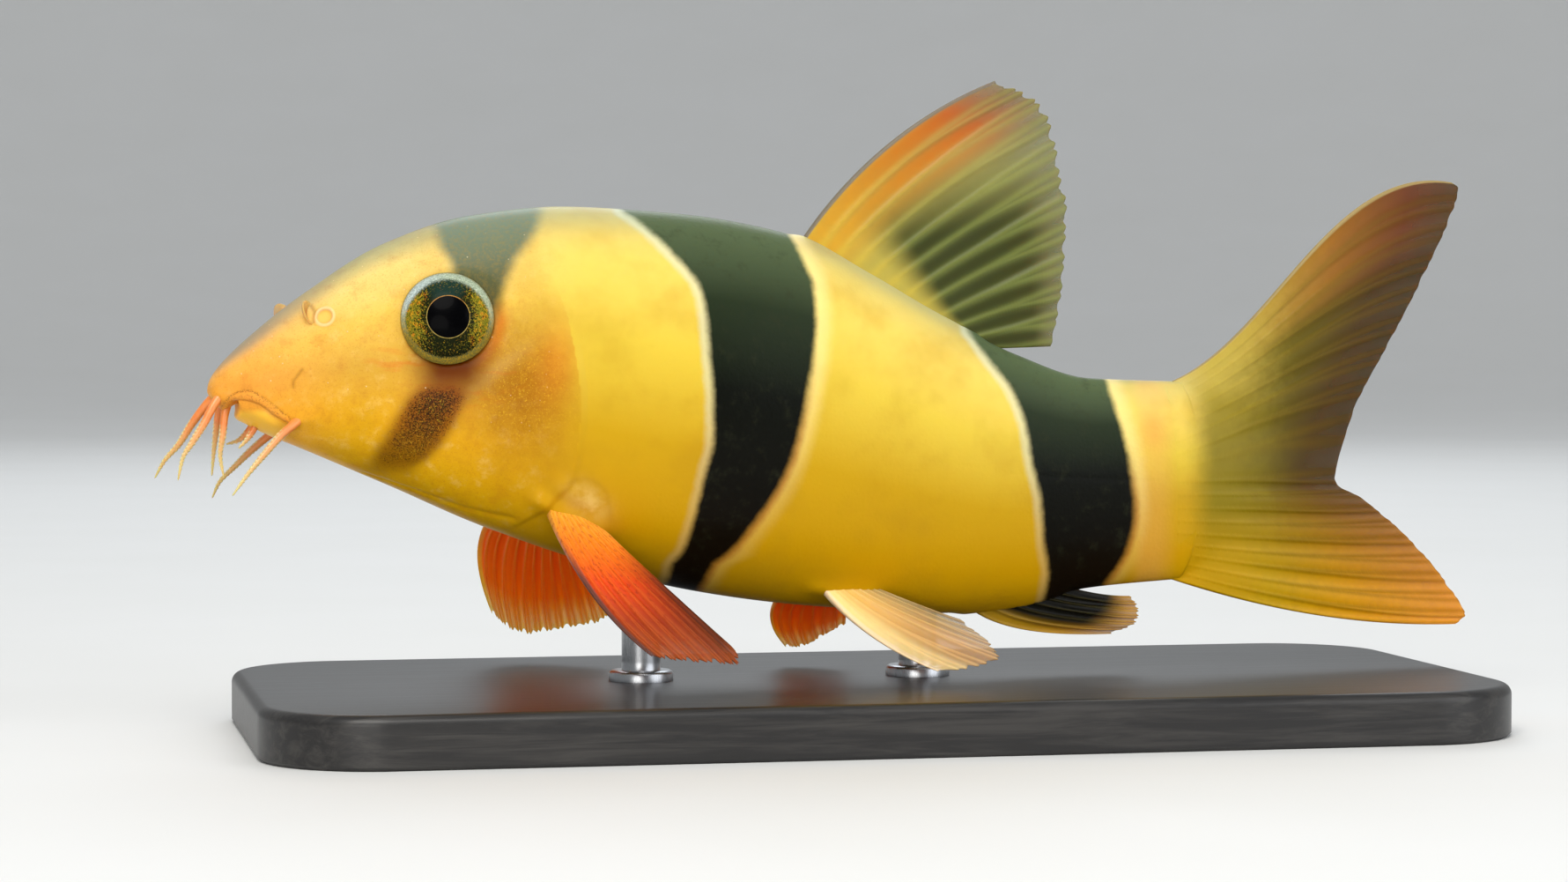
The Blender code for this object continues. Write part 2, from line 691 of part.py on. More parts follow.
def tail_fin_lower():
    root = ((0.0, (75.0, -15.1)), (0.5, (75.6, -11.9)), (1.0, (76.2, -7.75)))
    tip = ((0.0, (100.4, -19.5)), (0.1, (101.5, -18.7)), (0.3, (99.6, -16.0)), (0.6, (95.6, -11.9)),
           (0.85, (92.0, -9.1)), (1.0, (89.6, -7.65)))
    bow = ((0.0, (-0.2, 0, -1.4), (-0.2, 0, -1.6)), (0.4, (0, 0, -0.5), (0, 0, -0.6)),
           (1.0, (0, 0, 0), (0, 0, 0)))
    return fin("tail_fin_lower", 9, 9, sway(root), sway(tip), bow, (0.8, 1.8, 1.9))


def pectoral_fin_left():
    tip = ((0.0, (31.2, -16.0, -19.1)), (0.3, (34.2, -17.0, -19.8)), (0.55, (37.0, -17.4, -20.0)),
           (0.72, (37.6, -16.2, -19.2)), (0.88, (36.75, -13.3, -18.1)), (1.0, (35.8, -10.9, -17.2)))
    bow = ((0.0, (-1.3, 0.2, -0.6), (-1.3, 0.2, -0.8)), (0.5, (-0.2, 0, 0), (-0.2, 0, 0.2)),
           (1.0, (-0.4, 0, 0.3), (-0.6, 0, 0.2)))
    root = side_root(*PECTORAL_BASE, -1)
    return fin("pectoral_fin_left", 9, 8, root, tip, bow, (0.8, 1.1, 0.6))


def pectoral_fin_right():
    tip = ((0.0, (23.9, 18.0, -18.8)), (0.2, (25.4, 18.5, -19.7)), (0.4, (27.3, 18.5, -20.2)),
           (0.6, (29.3, 17.5, -20.1)), (0.8, (31.7, 16.0, -19.7)), (1.0, (33.4, 14.2, -18.3)))
    bow = ((0.0, (-3.2, 0, 1.9), (-3.0, 0, 1.7)), (0.5, (-0.8, 0, 1.0), (-0.8, 0, 0.8)),
           (1.0, (0, 0, 0), (0, 0, 0.3)))
    root = side_root(*PECTORAL_BASE, 1)
    return fin("pectoral_fin_right", 10, 8, root, tip, bow, (0.8, 1.1, 0.6))


def pelvic_fin_left():
    tip = ((0.0, (54.2, -10.0, -21.3)), (0.2, (56.8, -10.1, -21.3)), (0.45, (59.3, -9.5, -20.5)),
           (0.7, (58.9, -8.5, -19.4)), (1.0, (57.0, -6.8, -17.6)))
    bow = ((0.0, (-1.2, 0, -0.5), (-1.2, 0, -0.5)), (1.0, (0, 0, 0), (0, 0, 0)))
    root = side_root(*PELVIC_BASE, -1)
    return fin("pelvic_fin_left", 7, 7, root, tip, bow, (0.7, 1.0, 0.6))


def pelvic_fin_right():
    tip = ((0.0, (46.7, 10.0, -21.3)), (0.3, (47.8, 10.2, -21.0)), (0.6, (49.3, 10.0, -20.4)),
           (1.0, (51.4, 9.0, -19.4)))
    bow = ((0.0, (-2.6, 0, 0.3), (-2.4, 0, 0.2)), (1.0, (0, 0, 0), (0, 0, 0)))
    root = side_root(*PELVIC_BASE, 1)
    return fin("pelvic_fin_right", 7, 7, root, tip, bow, (0.7, 1.0, 0.6))


def build_fins(parent):
    makers = (
        (dorsal_fin, OLIVE), (anal_fin, OLIVE), (tail_fin_upper, OLIVE), (tail_fin_lower, OLIVE),
        (pectoral_fin_left, RED), (pectoral_fin_right, RED),
        (pelvic_fin_left, PINK), (pelvic_fin_right, RED),
    )
    for maker, colour in makers:
        piece = maker()
        combine(piece, clear_body(), "DIFFERENCE")
        finish(piece, colour, FIN_GLOSS, parent)


# Stand

def build_stand():
    stand = bpy.data.objects.new("stand", None)
    bpy.context.scene.collection.objects.link(stand)
    edit = bmesh.new()
    bmesh.ops.create_cube(edit, size=1.0)
    bmesh.ops.scale(edit, vec=BASE_SIZE, verts=edit.verts)
    bmesh.ops.translate(edit, vec=(0, 0, BASE_SIZE[2] / 2), verts=edit.verts)
    corners = [e for e in edit.edges if abs(e.verts[0].co.z - e.verts[1].co.z) > BASE_SIZE[2] / 2]
    bmesh.ops.bevel(edit, geom=corners, offset=BASE_CORNER, segments=8, profile=0.5, affect="EDGES")
    top = [e for e in edit.edges if all(v.co.z > BASE_SIZE[2] * 0.9 for v in e.verts)
           and sum(f.normal.z > 0.9 for f in e.link_faces) == 1]
    bmesh.ops.bevel(edit, geom=top, offset=BASE_BEVEL, segments=2, profile=0.5, affect="EDGES")
    mesh = bpy.data.meshes.new("stand_base")
    edit.to_mesh(mesh)
    edit.free()
    base = bpy.data.objects.new("stand_base", mesh)
    bpy.context.scene.collection.objects.link(base)
    finish(base, BASE_COLOUR, BASE_GLOSS, stand)
    return stand


def build_rods(stand):
    """Each rod stands on the base and is cut off by the belly's own curve, a gap below it."""
    for name, place in ROD_PLACES.items():
        foot = Vector((place, 0.0, BASE_SIZE[2] + GAP)) - Vector(SNOUT_PLACE)
        top = Vector((place, 0.0, SNOUT_PLACE[2])) - Vector(SNOUT_PLACE)
        edit = bmesh.new()
        bmesh.ops.create_cone(edit, cap_ends=True, segments=ROD_SIDES, depth=top.z - foot.z,
                              radius1=ROD_RADIUS, radius2=ROD_RADIUS)
        bmesh.ops.translate(edit, vec=(foot.x, 0.0, (foot.z + top.z) / 2), verts=edit.verts)
        mesh = bpy.data.meshes.new(name)
        edit.to_mesh(mesh)
        edit.free()
        rod = bpy.data.objects.new(name, mesh)
        bpy.context.scene.collection.objects.link(rod)
        combine(rod, clear_body(), "DIFFERENCE")
        rod.location = SNOUT_PLACE
        finish(rod, ROD_COLOUR, ROD_GLOSS, stand, 1.0)


fish = bpy.data.objects.new("clown_loach", None)
fish.location = SNOUT_PLACE
bpy.context.scene.collection.objects.link(fish)
build_body(fish)
build_barbels(fish)
build_fins(fish)
build_rods(build_stand())
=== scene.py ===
import math

import bpy
import numpy as np
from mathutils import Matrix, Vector


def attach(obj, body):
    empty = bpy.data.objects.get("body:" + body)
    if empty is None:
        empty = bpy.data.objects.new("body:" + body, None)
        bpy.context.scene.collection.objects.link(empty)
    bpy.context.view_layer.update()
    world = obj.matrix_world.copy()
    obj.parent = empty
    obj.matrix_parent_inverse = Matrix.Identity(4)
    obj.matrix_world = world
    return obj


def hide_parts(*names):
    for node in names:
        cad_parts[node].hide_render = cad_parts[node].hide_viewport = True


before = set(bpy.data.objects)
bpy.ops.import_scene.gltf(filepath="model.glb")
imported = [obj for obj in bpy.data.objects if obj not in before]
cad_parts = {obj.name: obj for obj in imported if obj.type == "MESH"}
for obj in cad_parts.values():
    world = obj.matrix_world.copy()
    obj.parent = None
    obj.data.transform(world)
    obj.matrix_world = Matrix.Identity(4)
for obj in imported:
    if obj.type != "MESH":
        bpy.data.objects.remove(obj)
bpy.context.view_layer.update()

# A young clown loach, life size, on a small black stand.
# Every piece is drawn in the fish's own measure, in mm: x behind the tip of the snout, y to the
# fish's right and z above the snout. snoutPlace then hangs it over the base.

mm = 0.001
snoutPlace = np.array((-50.6, 0.0, 26.5))
random = np.random.default_rng(7)


# Smooth lines

def smoothCurve(pairs):
    # a smooth line through (at, value) pairs that never overshoots them
    x, y = np.array(pairs, float).T
    step = np.diff(x)
    slope = np.diff(y) / step
    tangent = np.zeros_like(y)
    tangent[0], tangent[-1] = slope[0], slope[-1]
    ahead = 2 * step[1:] + step[:-1]
    back = step[1:] + 2 * step[:-1]
    sameWay = slope[:-1] * slope[1:] > 0
    first = np.where(sameWay, slope[:-1], 1.0)
    second = np.where(sameWay, slope[1:], 1.0)
    tangent[1:-1] = np.where(sameWay, (ahead + back) / (ahead / first + back / second), 0.0)

    def value(at):
        at = np.clip(at, x[0], x[-1])
        i = np.clip(np.searchsorted(x, at) - 1, 0, len(step) - 1)
        f = (at - x[i]) / step[i]
        g = 1 - f
        blend = y[i] * g * g * (1 + 2 * f) + y[i + 1] * f * f * (1 + 2 * g)
        return blend + step[i] * f * g * (tangent[i] * g - tangent[i + 1] * f)

    return value


def smoothRoute(stops):
    # a smooth line in space through (share, (x, y, z)) stops
    parts = [smoothCurve([(share, place[k]) for share, place in stops]) for k in range(3)]
    return lambda share: np.stack([part(share) for part in parts], axis=-1)


def evenRoute(places):
    return smoothRoute([(i / (len(places) - 1), place) for i, place in enumerate(places)])


def evenCurve(values):
    return smoothCurve([(i / (len(values) - 1), value) for i, value in enumerate(values)])


def softStep(value, low, high):
    # 0 below low, 1 above high, and smooth between them
    f = np.clip((value - low) / (high - low), 0.0, 1.0)
    return f * f * (3 - 2 * f)


def bell(distance, width):
    return np.exp(-(distance / width) ** 2)


# The body's form

body = {
    "length": 76.5,
    # behind the snout, back, belly, half width, height of the widest level
    "stations": (
        (0.0, 0.0, 0.0, 0.0, 0.0), (1.0, 2.0, -1.1, 2.1, 0.2), (3.0, 3.95, -2.6, 3.3, 0.3),
        (7.5, 7.5, -4.6, 4.5, 0.3), (13.5, 11.2, -7.2, 5.6, 0.1), (20.0, 13.3, -10.1, 6.6, -0.6),
        (27.0, 14.0, -12.7, 7.2, -1.8), (36.0, 13.5, -15.4, 7.2, -2.6), (45.0, 11.9, -16.8, 6.5, -3.6),
        (51.0, 8.9, -17.3, 5.7, -4.8), (57.0, 5.5, -17.7, 4.7, -6.2), (63.0, 2.6, -17.2, 3.6, -7.2),
        (69.0, 0.7, -15.9, 2.6, -7.7), (76.5, 0.4, -15.3, 1.35, -7.5)),
    "backPower": ((0.0, 2.2), (20.0, 2.2), (36.0, 1.9), (76.5, 2.0)),   # 2 is an ellipse
    "bellyPower": ((0.0, 2.4), (20.0, 2.3), (45.0, 2.2), (76.5, 2.0)),
    "around": 440,          # points round the body
    "headRows": 320,
    "torsoRows": 230,
    "stemRows": 50,
    "capRows": 14,
    "headEnd": 27.2,
    "stemStart": 68.0,
    "tailBulge": 1.5,
    "capLength": 0.9,
    "capTaper": (1.0, 0.9, 0.6, 0.05),
    "fleshSlope": 0.124,    # how the flesh thins out in the tail fin
    "fleshFall": 0.02,
}
rooted = [(math.sqrt(row[0] / body["length"]), row) for row in body["stations"]]
backLine, bellyLine, widthLine, levelLine = [
    smoothCurve([(t, row[k]) for t, row in rooted]) for k in range(1, 5)]
upperPower, lowerPower = smoothCurve(body["backPower"]), smoothCurve(body["bellyPower"])


def bodySection(behind):
    t = np.sqrt(np.maximum(behind, 0.0) / body["length"])
    return (backLine(t), bellyLine(t), widthLine(t), levelLine(t),
            upperPower(behind), lowerPower(behind))


def skinPoint(behind, angle):
    # angle 0 is the fish's right side, a quarter turn is its back
    back, belly, width, level, upper, lower = bodySection(behind)
    across, up = np.cos(angle), np.sin(angle)
    power = np.where(up > 0, upper, lower)
    reach = np.where(up > 0, back - level, level - belly)
    y = width * np.sign(across) * np.abs(across) ** (2 / power)
    z = level + reach * np.sign(up) * np.abs(up) ** (2 / power)
    return np.stack([behind + 0 * angle, y, z], axis=-1)


def sidePoint(behind, height, side=-1):
    # a point of the skin at a height: side is -1 for the fish's left and 1 for its right
    behind, height = np.asarray(behind, float), np.asarray(height, float)
    back, belly, width, level, upper, lower = bodySection(behind)
    power = np.where(height > level, upper, lower)
    reach = np.where(height > level, back - level, level - belly)
    share = np.minimum(np.abs(height - level) / reach, 1.0)
    return np.stack([behind, side * width * (1 - share ** power) ** (1 / power), height], axis=-1)


def sideNormal(behind, height, side=-1, step=0.3):
    along = sidePoint(behind + step, height, side) - sidePoint(behind - step, height, side)
    up = sidePoint(behind, height + step, side) - sidePoint(behind, height - step, side)
    out = np.cross(along, up) * -side
    return out / np.linalg.norm(out)


def sideLine(places, count=40):
    # a smooth line drawn on the left side through (behind, height) places
    route = evenRoute([(behind, height, 0.0) for behind, height in places])
    line = route(np.linspace(0, 1, count))
    return sidePoint(line[:, 0], line[:, 1])


def distanceTo(points, line, normals=None):
    # how far each point is from a line, how far along it, and which side of it (1 is above,
    # for a line drawn from the snout towards the tail on the left side)
    flat = points.reshape(-1, 3)
    nearest = np.full(len(flat), 1e9)
    share = np.zeros(len(flat))
    sign = np.ones(len(flat))
    low, high = line.min(axis=0) - 4, line.max(axis=0) + 4
    near = np.where(((flat > low) & (flat < high)).all(axis=1))[0]
    few = flat[near]
    outward = normals.reshape(-1, 3)[near] if normals is not None else None
    best, bestShare, bestSign = nearest[near], share[near], sign[near]
    for i, (a, b) in enumerate(zip(line, line[1:])):
        along = b - a
        t = np.clip((few - a) @ along / (along @ along), 0, 1)
        away = few - a - t[:, None] * along
        distance = np.linalg.norm(away, axis=1)
        closer = distance < best
        best = np.where(closer, distance, best)
        bestShare = np.where(closer, (i + t) / (len(line) - 1), bestShare)
        if outward is not None:
            turn = (np.cross(outward, along) * away).sum(axis=1)
            bestSign = np.where(closer, np.where(turn > 0, 1.0, -1.0), bestSign)
    nearest[near], share[near], sign[near] = best, bestShare, bestSign
    shape = points.shape[:-1]
    return nearest.reshape(shape), share.reshape(shape), sign.reshape(shape)


# Meshes

def makePiece(name, points, faces, material, nodes, numbers=None, parent=None):
    # points in the fish's measure become a mesh in the row frame, with a number per point for
    # each name in numbers
    mesh = bpy.data.meshes.new(name)
    places = (points.reshape(-1, 3) + snoutPlace) * mm
    mesh.from_pydata(places.tolist(), [], [list(face) for face in faces])
    mesh.validate()
    for label, values in (numbers or {}).items():
        column = mesh.attributes.new(label, "FLOAT", "POINT")
        column.data.foreach_set("value", np.ascontiguousarray(values, np.float32).ravel())
    mesh.shade_smooth()
    mesh.materials.append(material)
    piece = bpy.data.objects.new(name, mesh)
    bpy.context.scene.collection.objects.link(piece)
    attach(piece, "root")
    if nodes:
        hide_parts(*nodes)
    return piece


def ringFaces(rings, around, start=0):
    # quads over rings that close on themselves
    i = np.arange(rings - 1)[:, None] * around + start
    k = np.arange(around)[None, :]
    k1 = (k + 1) % around
    return np.stack([i + k, i + k1, i + around + k1, i + around + k], axis=-1).reshape(-1, 4).tolist()


def capFaces(start, around, flip=False):
    # quads across a ring, from its right side to its left side
    faces = []
    for k in range(around // 2):
        quad = [start + k, start + k + 1, start + around - k - 1, start + (around - k) % around]
        quad = list(dict.fromkeys(quad))
        faces.append(quad[::-1] if flip else quad)
    return faces


def fanFaces(tip, start, around, flip=False):
    faces = []
    for k in range(around):
        face = [tip, start + (k + 1) % around, start + k]
        faces.append(face[::-1] if flip else face)
    return faces


def sheetFaces(columns, rows):
    # two like grids, one over the other, joined round their edge
    back = columns * rows
    i = np.arange(columns - 1)[:, None] * rows
    j = np.arange(rows - 1)[None, :]
    a, b = i + j, i + rows + j
    front = np.stack([a, b, b + 1, a + 1], axis=-1).reshape(-1, 4)
    faces = front.tolist() + (front[:, ::-1] + back).tolist()
    rim = [k * rows for k in range(columns)]
    rim += [(columns - 1) * rows + k for k in range(1, rows)]
    rim += [k * rows + rows - 1 for k in range(columns - 2, -1, -1)]
    rim += list(range(rows - 2, 0, -1))
    faces += [(a, back + a, back + b, b) for a, b in zip(rim, rim[1:] + rim[:1])]
    return faces


# Materials

def linear(colour):
    # a colour as 0 to 255, as a screen shows it, in the renderer's own measure
    share = np.array(colour, float) / 255
    value = np.where(share <= 0.04045, share / 12.92, ((share + 0.055) / 1.055) ** 2.4)
    return (*[float(v) for v in value], 1.0)


def newMaterial(name, **sockets):
    material = bpy.data.materials.new(name)
    material.use_nodes = True
    tree = material.node_tree
    shader = tree.nodes["Principled BSDF"]
    for label, value in sockets.items():
        shader.inputs[label].default_value = value
    return material, tree, shader


def plug(tree, socket, value):
    if isinstance(value, bpy.types.NodeSocket):
        tree.links.new(value, socket)
    elif socket.type == "RGBA":
        socket.default_value = linear(value)
    else:
        socket.default_value = value


def readNumber(tree, label):
    node = tree.nodes.new("ShaderNodeAttribute")
    node.attribute_name = label
    return node.outputs["Fac"]


def mixColour(tree, share, one, two, blend="MIX"):
    node = tree.nodes.new("ShaderNodeMix")
    node.data_type = "RGBA"
    node.blend_type = blend
    plug(tree, node.inputs[0], share)
    plug(tree, node.inputs[6], one)
    plug(tree, node.inputs[7], two)
    return node.outputs[2]


def calculate(tree, operation, *values, clamp=False):
    node = tree.nodes.new("ShaderNodeMath")
    node.operation = operation
    node.use_clamp = clamp
    for socket, value in zip(node.inputs, values):
        plug(tree, socket, value)
    return node.outputs[0]


def spread(tree, value, low, high, start=0.0, end=1.0):
    # a smooth rise from start at low to end at high
    node = tree.nodes.new("ShaderNodeMapRange")
    node.interpolation_type = "SMOOTHSTEP"
    for label, given in zip(("Value", "From Min", "From Max", "To Min", "To Max"),
                            (value, low, high, start, end)):
        plug(tree, node.inputs[label], given)
    return node.outputs["Result"]


def colourRamp(tree, share, stops):
    node = tree.nodes.new("ShaderNodeValToRGB")
    plug(tree, node.inputs[0], share)
    points = node.color_ramp.elements
    while len(points) < len(stops):
        points.new(1.0)
    for point, (place, colour) in zip(points, stops):
        point.position = place
        point.color = linear(colour)
    return node.outputs[0]


def inMm(tree):
    # the object's own coordinates, in mm
    node = tree.nodes.get("inMm")
    if node is None:
        place = tree.nodes.new("ShaderNodeTexCoord")
        node = tree.nodes.new("ShaderNodeVectorMath")
        node.name = "inMm"
        node.operation = "SCALE"
        node.inputs["Scale"].default_value = 1 / mm
        tree.links.new(place.outputs["Object"], node.inputs[0])
    return node.outputs[0]


def grain(tree, size, detail=2.0, roughness=0.5, distortion=0.0, where=None):
    # soft noise with features about so many mm wide, from 0 to 1
    node = tree.nodes.new("ShaderNodeTexNoise")
    plug(tree, node.inputs["Vector"], where or inMm(tree))
    node.inputs["Scale"].default_value = 1 / size
    node.inputs["Detail"].default_value = detail
    node.inputs["Roughness"].default_value = roughness
    node.inputs["Distortion"].default_value = distortion
    return node.outputs["Fac"]


def stretched(tree, scale):
    node = tree.nodes.new("ShaderNodeVectorMath")
    node.operation = "MULTIPLY"
    tree.links.new(inMm(tree), node.inputs[0])
    node.inputs[1].default_value = scale
    return node.outputs[0]


def cells(tree, size, randomness=1.0, where=None):
    # distance from the middle of each cell, in cells, and a random number for each
    node = tree.nodes.new("ShaderNodeTexVoronoi")
    plug(tree, node.inputs["Vector"], where or inMm(tree))
    node.inputs["Scale"].default_value = 1 / size
    node.inputs["Randomness"].default_value = randomness
    split = tree.nodes.new("ShaderNodeSeparateColor")
    tree.links.new(node.outputs["Color"], split.inputs[0])
    return node.outputs["Distance"], split.outputs[0]


def spots(tree, size, radius, kept, where=None):
    # round spots: size is their spacing, radius their own, in mm, and kept the share that shows
    distance, chance = cells(tree, size, 1.0, where)
    disc = spread(tree, distance, radius / size, 0.6 * radius / size)
    return calculate(tree, "MULTIPLY", disc, spread(tree, chance, kept + 0.02, kept - 0.02))


def dust(tree, size, share, soft=0.07):
    # fine irregular grains that cover more of the surface where share is higher
    low = calculate(tree, "MULTIPLY_ADD", share, -0.36, 0.68)
    return spread(tree, grain(tree, size, 4.0, 0.8), low, calculate(tree, "ADD", low, soft))


def bump(tree, height, depth, strength=1.0, normal=None):
    # relief so many mm deep
    node = tree.nodes.new("ShaderNodeBump")
    node.inputs["Strength"].default_value = strength
    node.inputs["Distance"].default_value = depth * mm
    plug(tree, node.inputs["Height"], height)
    if normal is not None:
        plug(tree, node.inputs["Normal"], normal)
    return node.outputs[0]


# Skin: form

relief = {
    # gill cover: height, behind; and how far its edge stands proud
    "gillEdge": ((-11.0, 21.5), (-8.7, 24.6), (-6.3, 26.6), (-1.0, 27.2), (5.0, 26.5), (9.0, 25.2),
                 (14.0, 23.0)),
    "gillLift": ((-11.0, 0.0), (-8.7, 0.16), (1.0, 0.16), (5.0, 0.0), (14.0, 0.0)),
    "gillFade": 1.9,
    "gillFall": 0.8,
    "gillGroove": 0.05,
    # mouth, from the middle of the front to the corner
    "slit": ((1.72, -1.55), (1.82, -1.05), (2.15, -0.66), (2.71, -0.72), (3.41, -0.92), (4.03, -1.28),
             (4.7, -1.8), (5.61, -2.22)),
    "lipTop": ((1.1, -1.1), (1.5, -0.45), (2.13, -0.03), (2.89, 0.06), (4.02, -0.55), (5.01, -1.3),
               (5.92, -1.98)),
    "slitDepth": 0.07,
    "slitWidth": 0.11,
    "lipSwell": 0.07,
    "gap": 1.0,            # how deep the mouth opens at the front
    "jawSwell": 0.1,
    # nostrils
    "nostril": (8.5, 5.6),
    "nostrilRing": 0.7,
    "nostrilPit": 0.54,
    # small folds of the snout and cheek: line, depth, width
    "folds": (
        (((6.75, 1.65), (6.35, 1.1), (6.1, 0.7), (6.09, 0.3)), 0.06, 0.1),
        (((8.1, 3.35), (9.03, 3.91), (9.94, 4.37)), 0.06, 0.22),
        (((11.2, 4.0), (13.66, 3.19), (15.58, 2.1)), 0.05, 0.3),
        (((7.55, 6.4), (7.75, 5.9), (7.65, 5.2)), 0.1, 0.16),
        (((13.2, -0.5), (16.0, -2.2), (20.0, -3.2), (23.5, -3.0)), 0.03, 0.5),
        (((11.5, -6.2), (15.5, -7.6), (19.5, -9.0), (22.5, -9.6)), 0.1, 0.3),
        (((30.0, -0.7), (43.7, -3.2), (63.3, -6.8), (74.0, -7.4)), 0.012, 0.2),
    ),
    # fleshy ridges: line, height, width
    "ridges": (
        (((24.4, -8.2), (26.4, -9.5), (28.6, -10.5)), 0.38, 0.75),
        (((26.0, -7.3), (27.6, -8.2), (28.6, -9.6)), 0.12, 0.7),
        (((46.3, -15.4), (48.0, -15.7), (50.2, -15.8)), 0.25, 0.8),
        (((5.6, -2.0), (6.4, -2.2), (7.4, -2.0)), 0.14, 0.6),
    ),
    "barbelFeet": (((0.8, -1.5, -0.4), 0.26, 0.9), ((1.3, -0.85, -1.15), 0.26, 0.55)),
}
eye = {
    "behind": 17.45, "height": 5.5, "radius": 3.5, "depth": 2.25, "sink": 0.55,
    "facing": (-0.12, 0.965, 0.2),
    "socket": 3.47, "socketDepth": 1.3, "rimHeight": 0.3, "skinHeight": 0.14,
}


def eyePlace(side):
    facing = np.array(eye["facing"]) * (1, side, 1)
    facing /= np.linalg.norm(facing)
    return sidePoint(eye["behind"], eye["height"], side) - facing * eye["sink"], facing


def stemForm(points):
    # how far the flesh of the tail reaches sideways from its middle
    x, z = points[..., 0], points[..., 2]
    behind = x
    for _ in range(4):
        stem = np.clip((behind - body["stemStart"]) / (body["length"] - body["stemStart"]), 0, 1)
        back, belly, width = bodySection(behind)[:3]
        height = np.clip((z - (back + belly) / 2) / ((back - belly) / 2), -1, 1)
        behind = x - body["tailBulge"] * stem ** 3 * (1 - height ** 2)
    past = np.maximum(behind - body["length"], 0)
    width = width * np.exp(-body["fleshSlope"] * past - body["fleshFall"] * past ** 2)
    soft = 0.5 + 0.5 * softStep(behind, 75.0, 79.0)
    return width * (1 - height ** 2) ** soft * (0.94 + 0.13 * softStep(behind, 73.0, 77.5))


def skinGrid():
    rows = body["headEnd"] * np.linspace(0, 1, body["headRows"] + 1)[1:] ** 1.5
    rows = np.concatenate([
        rows, np.linspace(body["headEnd"], body["stemStart"], body["torsoRows"] + 1)[1:],
        np.linspace(body["stemStart"], body["length"], body["stemRows"] + 1)[1:]])
    angles = -math.pi / 2 + math.tau * np.arange(body["around"]) / body["around"]
    grid = skinPoint(rows[:, None], angles[None, :])
    back, belly = bodySection(rows)[:2]
    middle, half = ((back + belly) / 2)[:, None], ((back - belly) / 2)[:, None]
    stem = np.clip((rows - body["stemStart"]) / (body["length"] - body["stemStart"]), 0, 1)[:, None]
    grid[..., 0] += body["tailBulge"] * stem ** 3 * (1 - ((grid[..., 2] - middle) / half) ** 2)
    return grid


def gridNormals(grid):
    along = np.gradient(grid, axis=0)
    around = np.roll(grid, -1, axis=1) - np.roll(grid, 1, axis=1)
    normal = np.cross(around, along)
    return normal / np.maximum(np.linalg.norm(normal, axis=-1, keepdims=True), 1e-12)


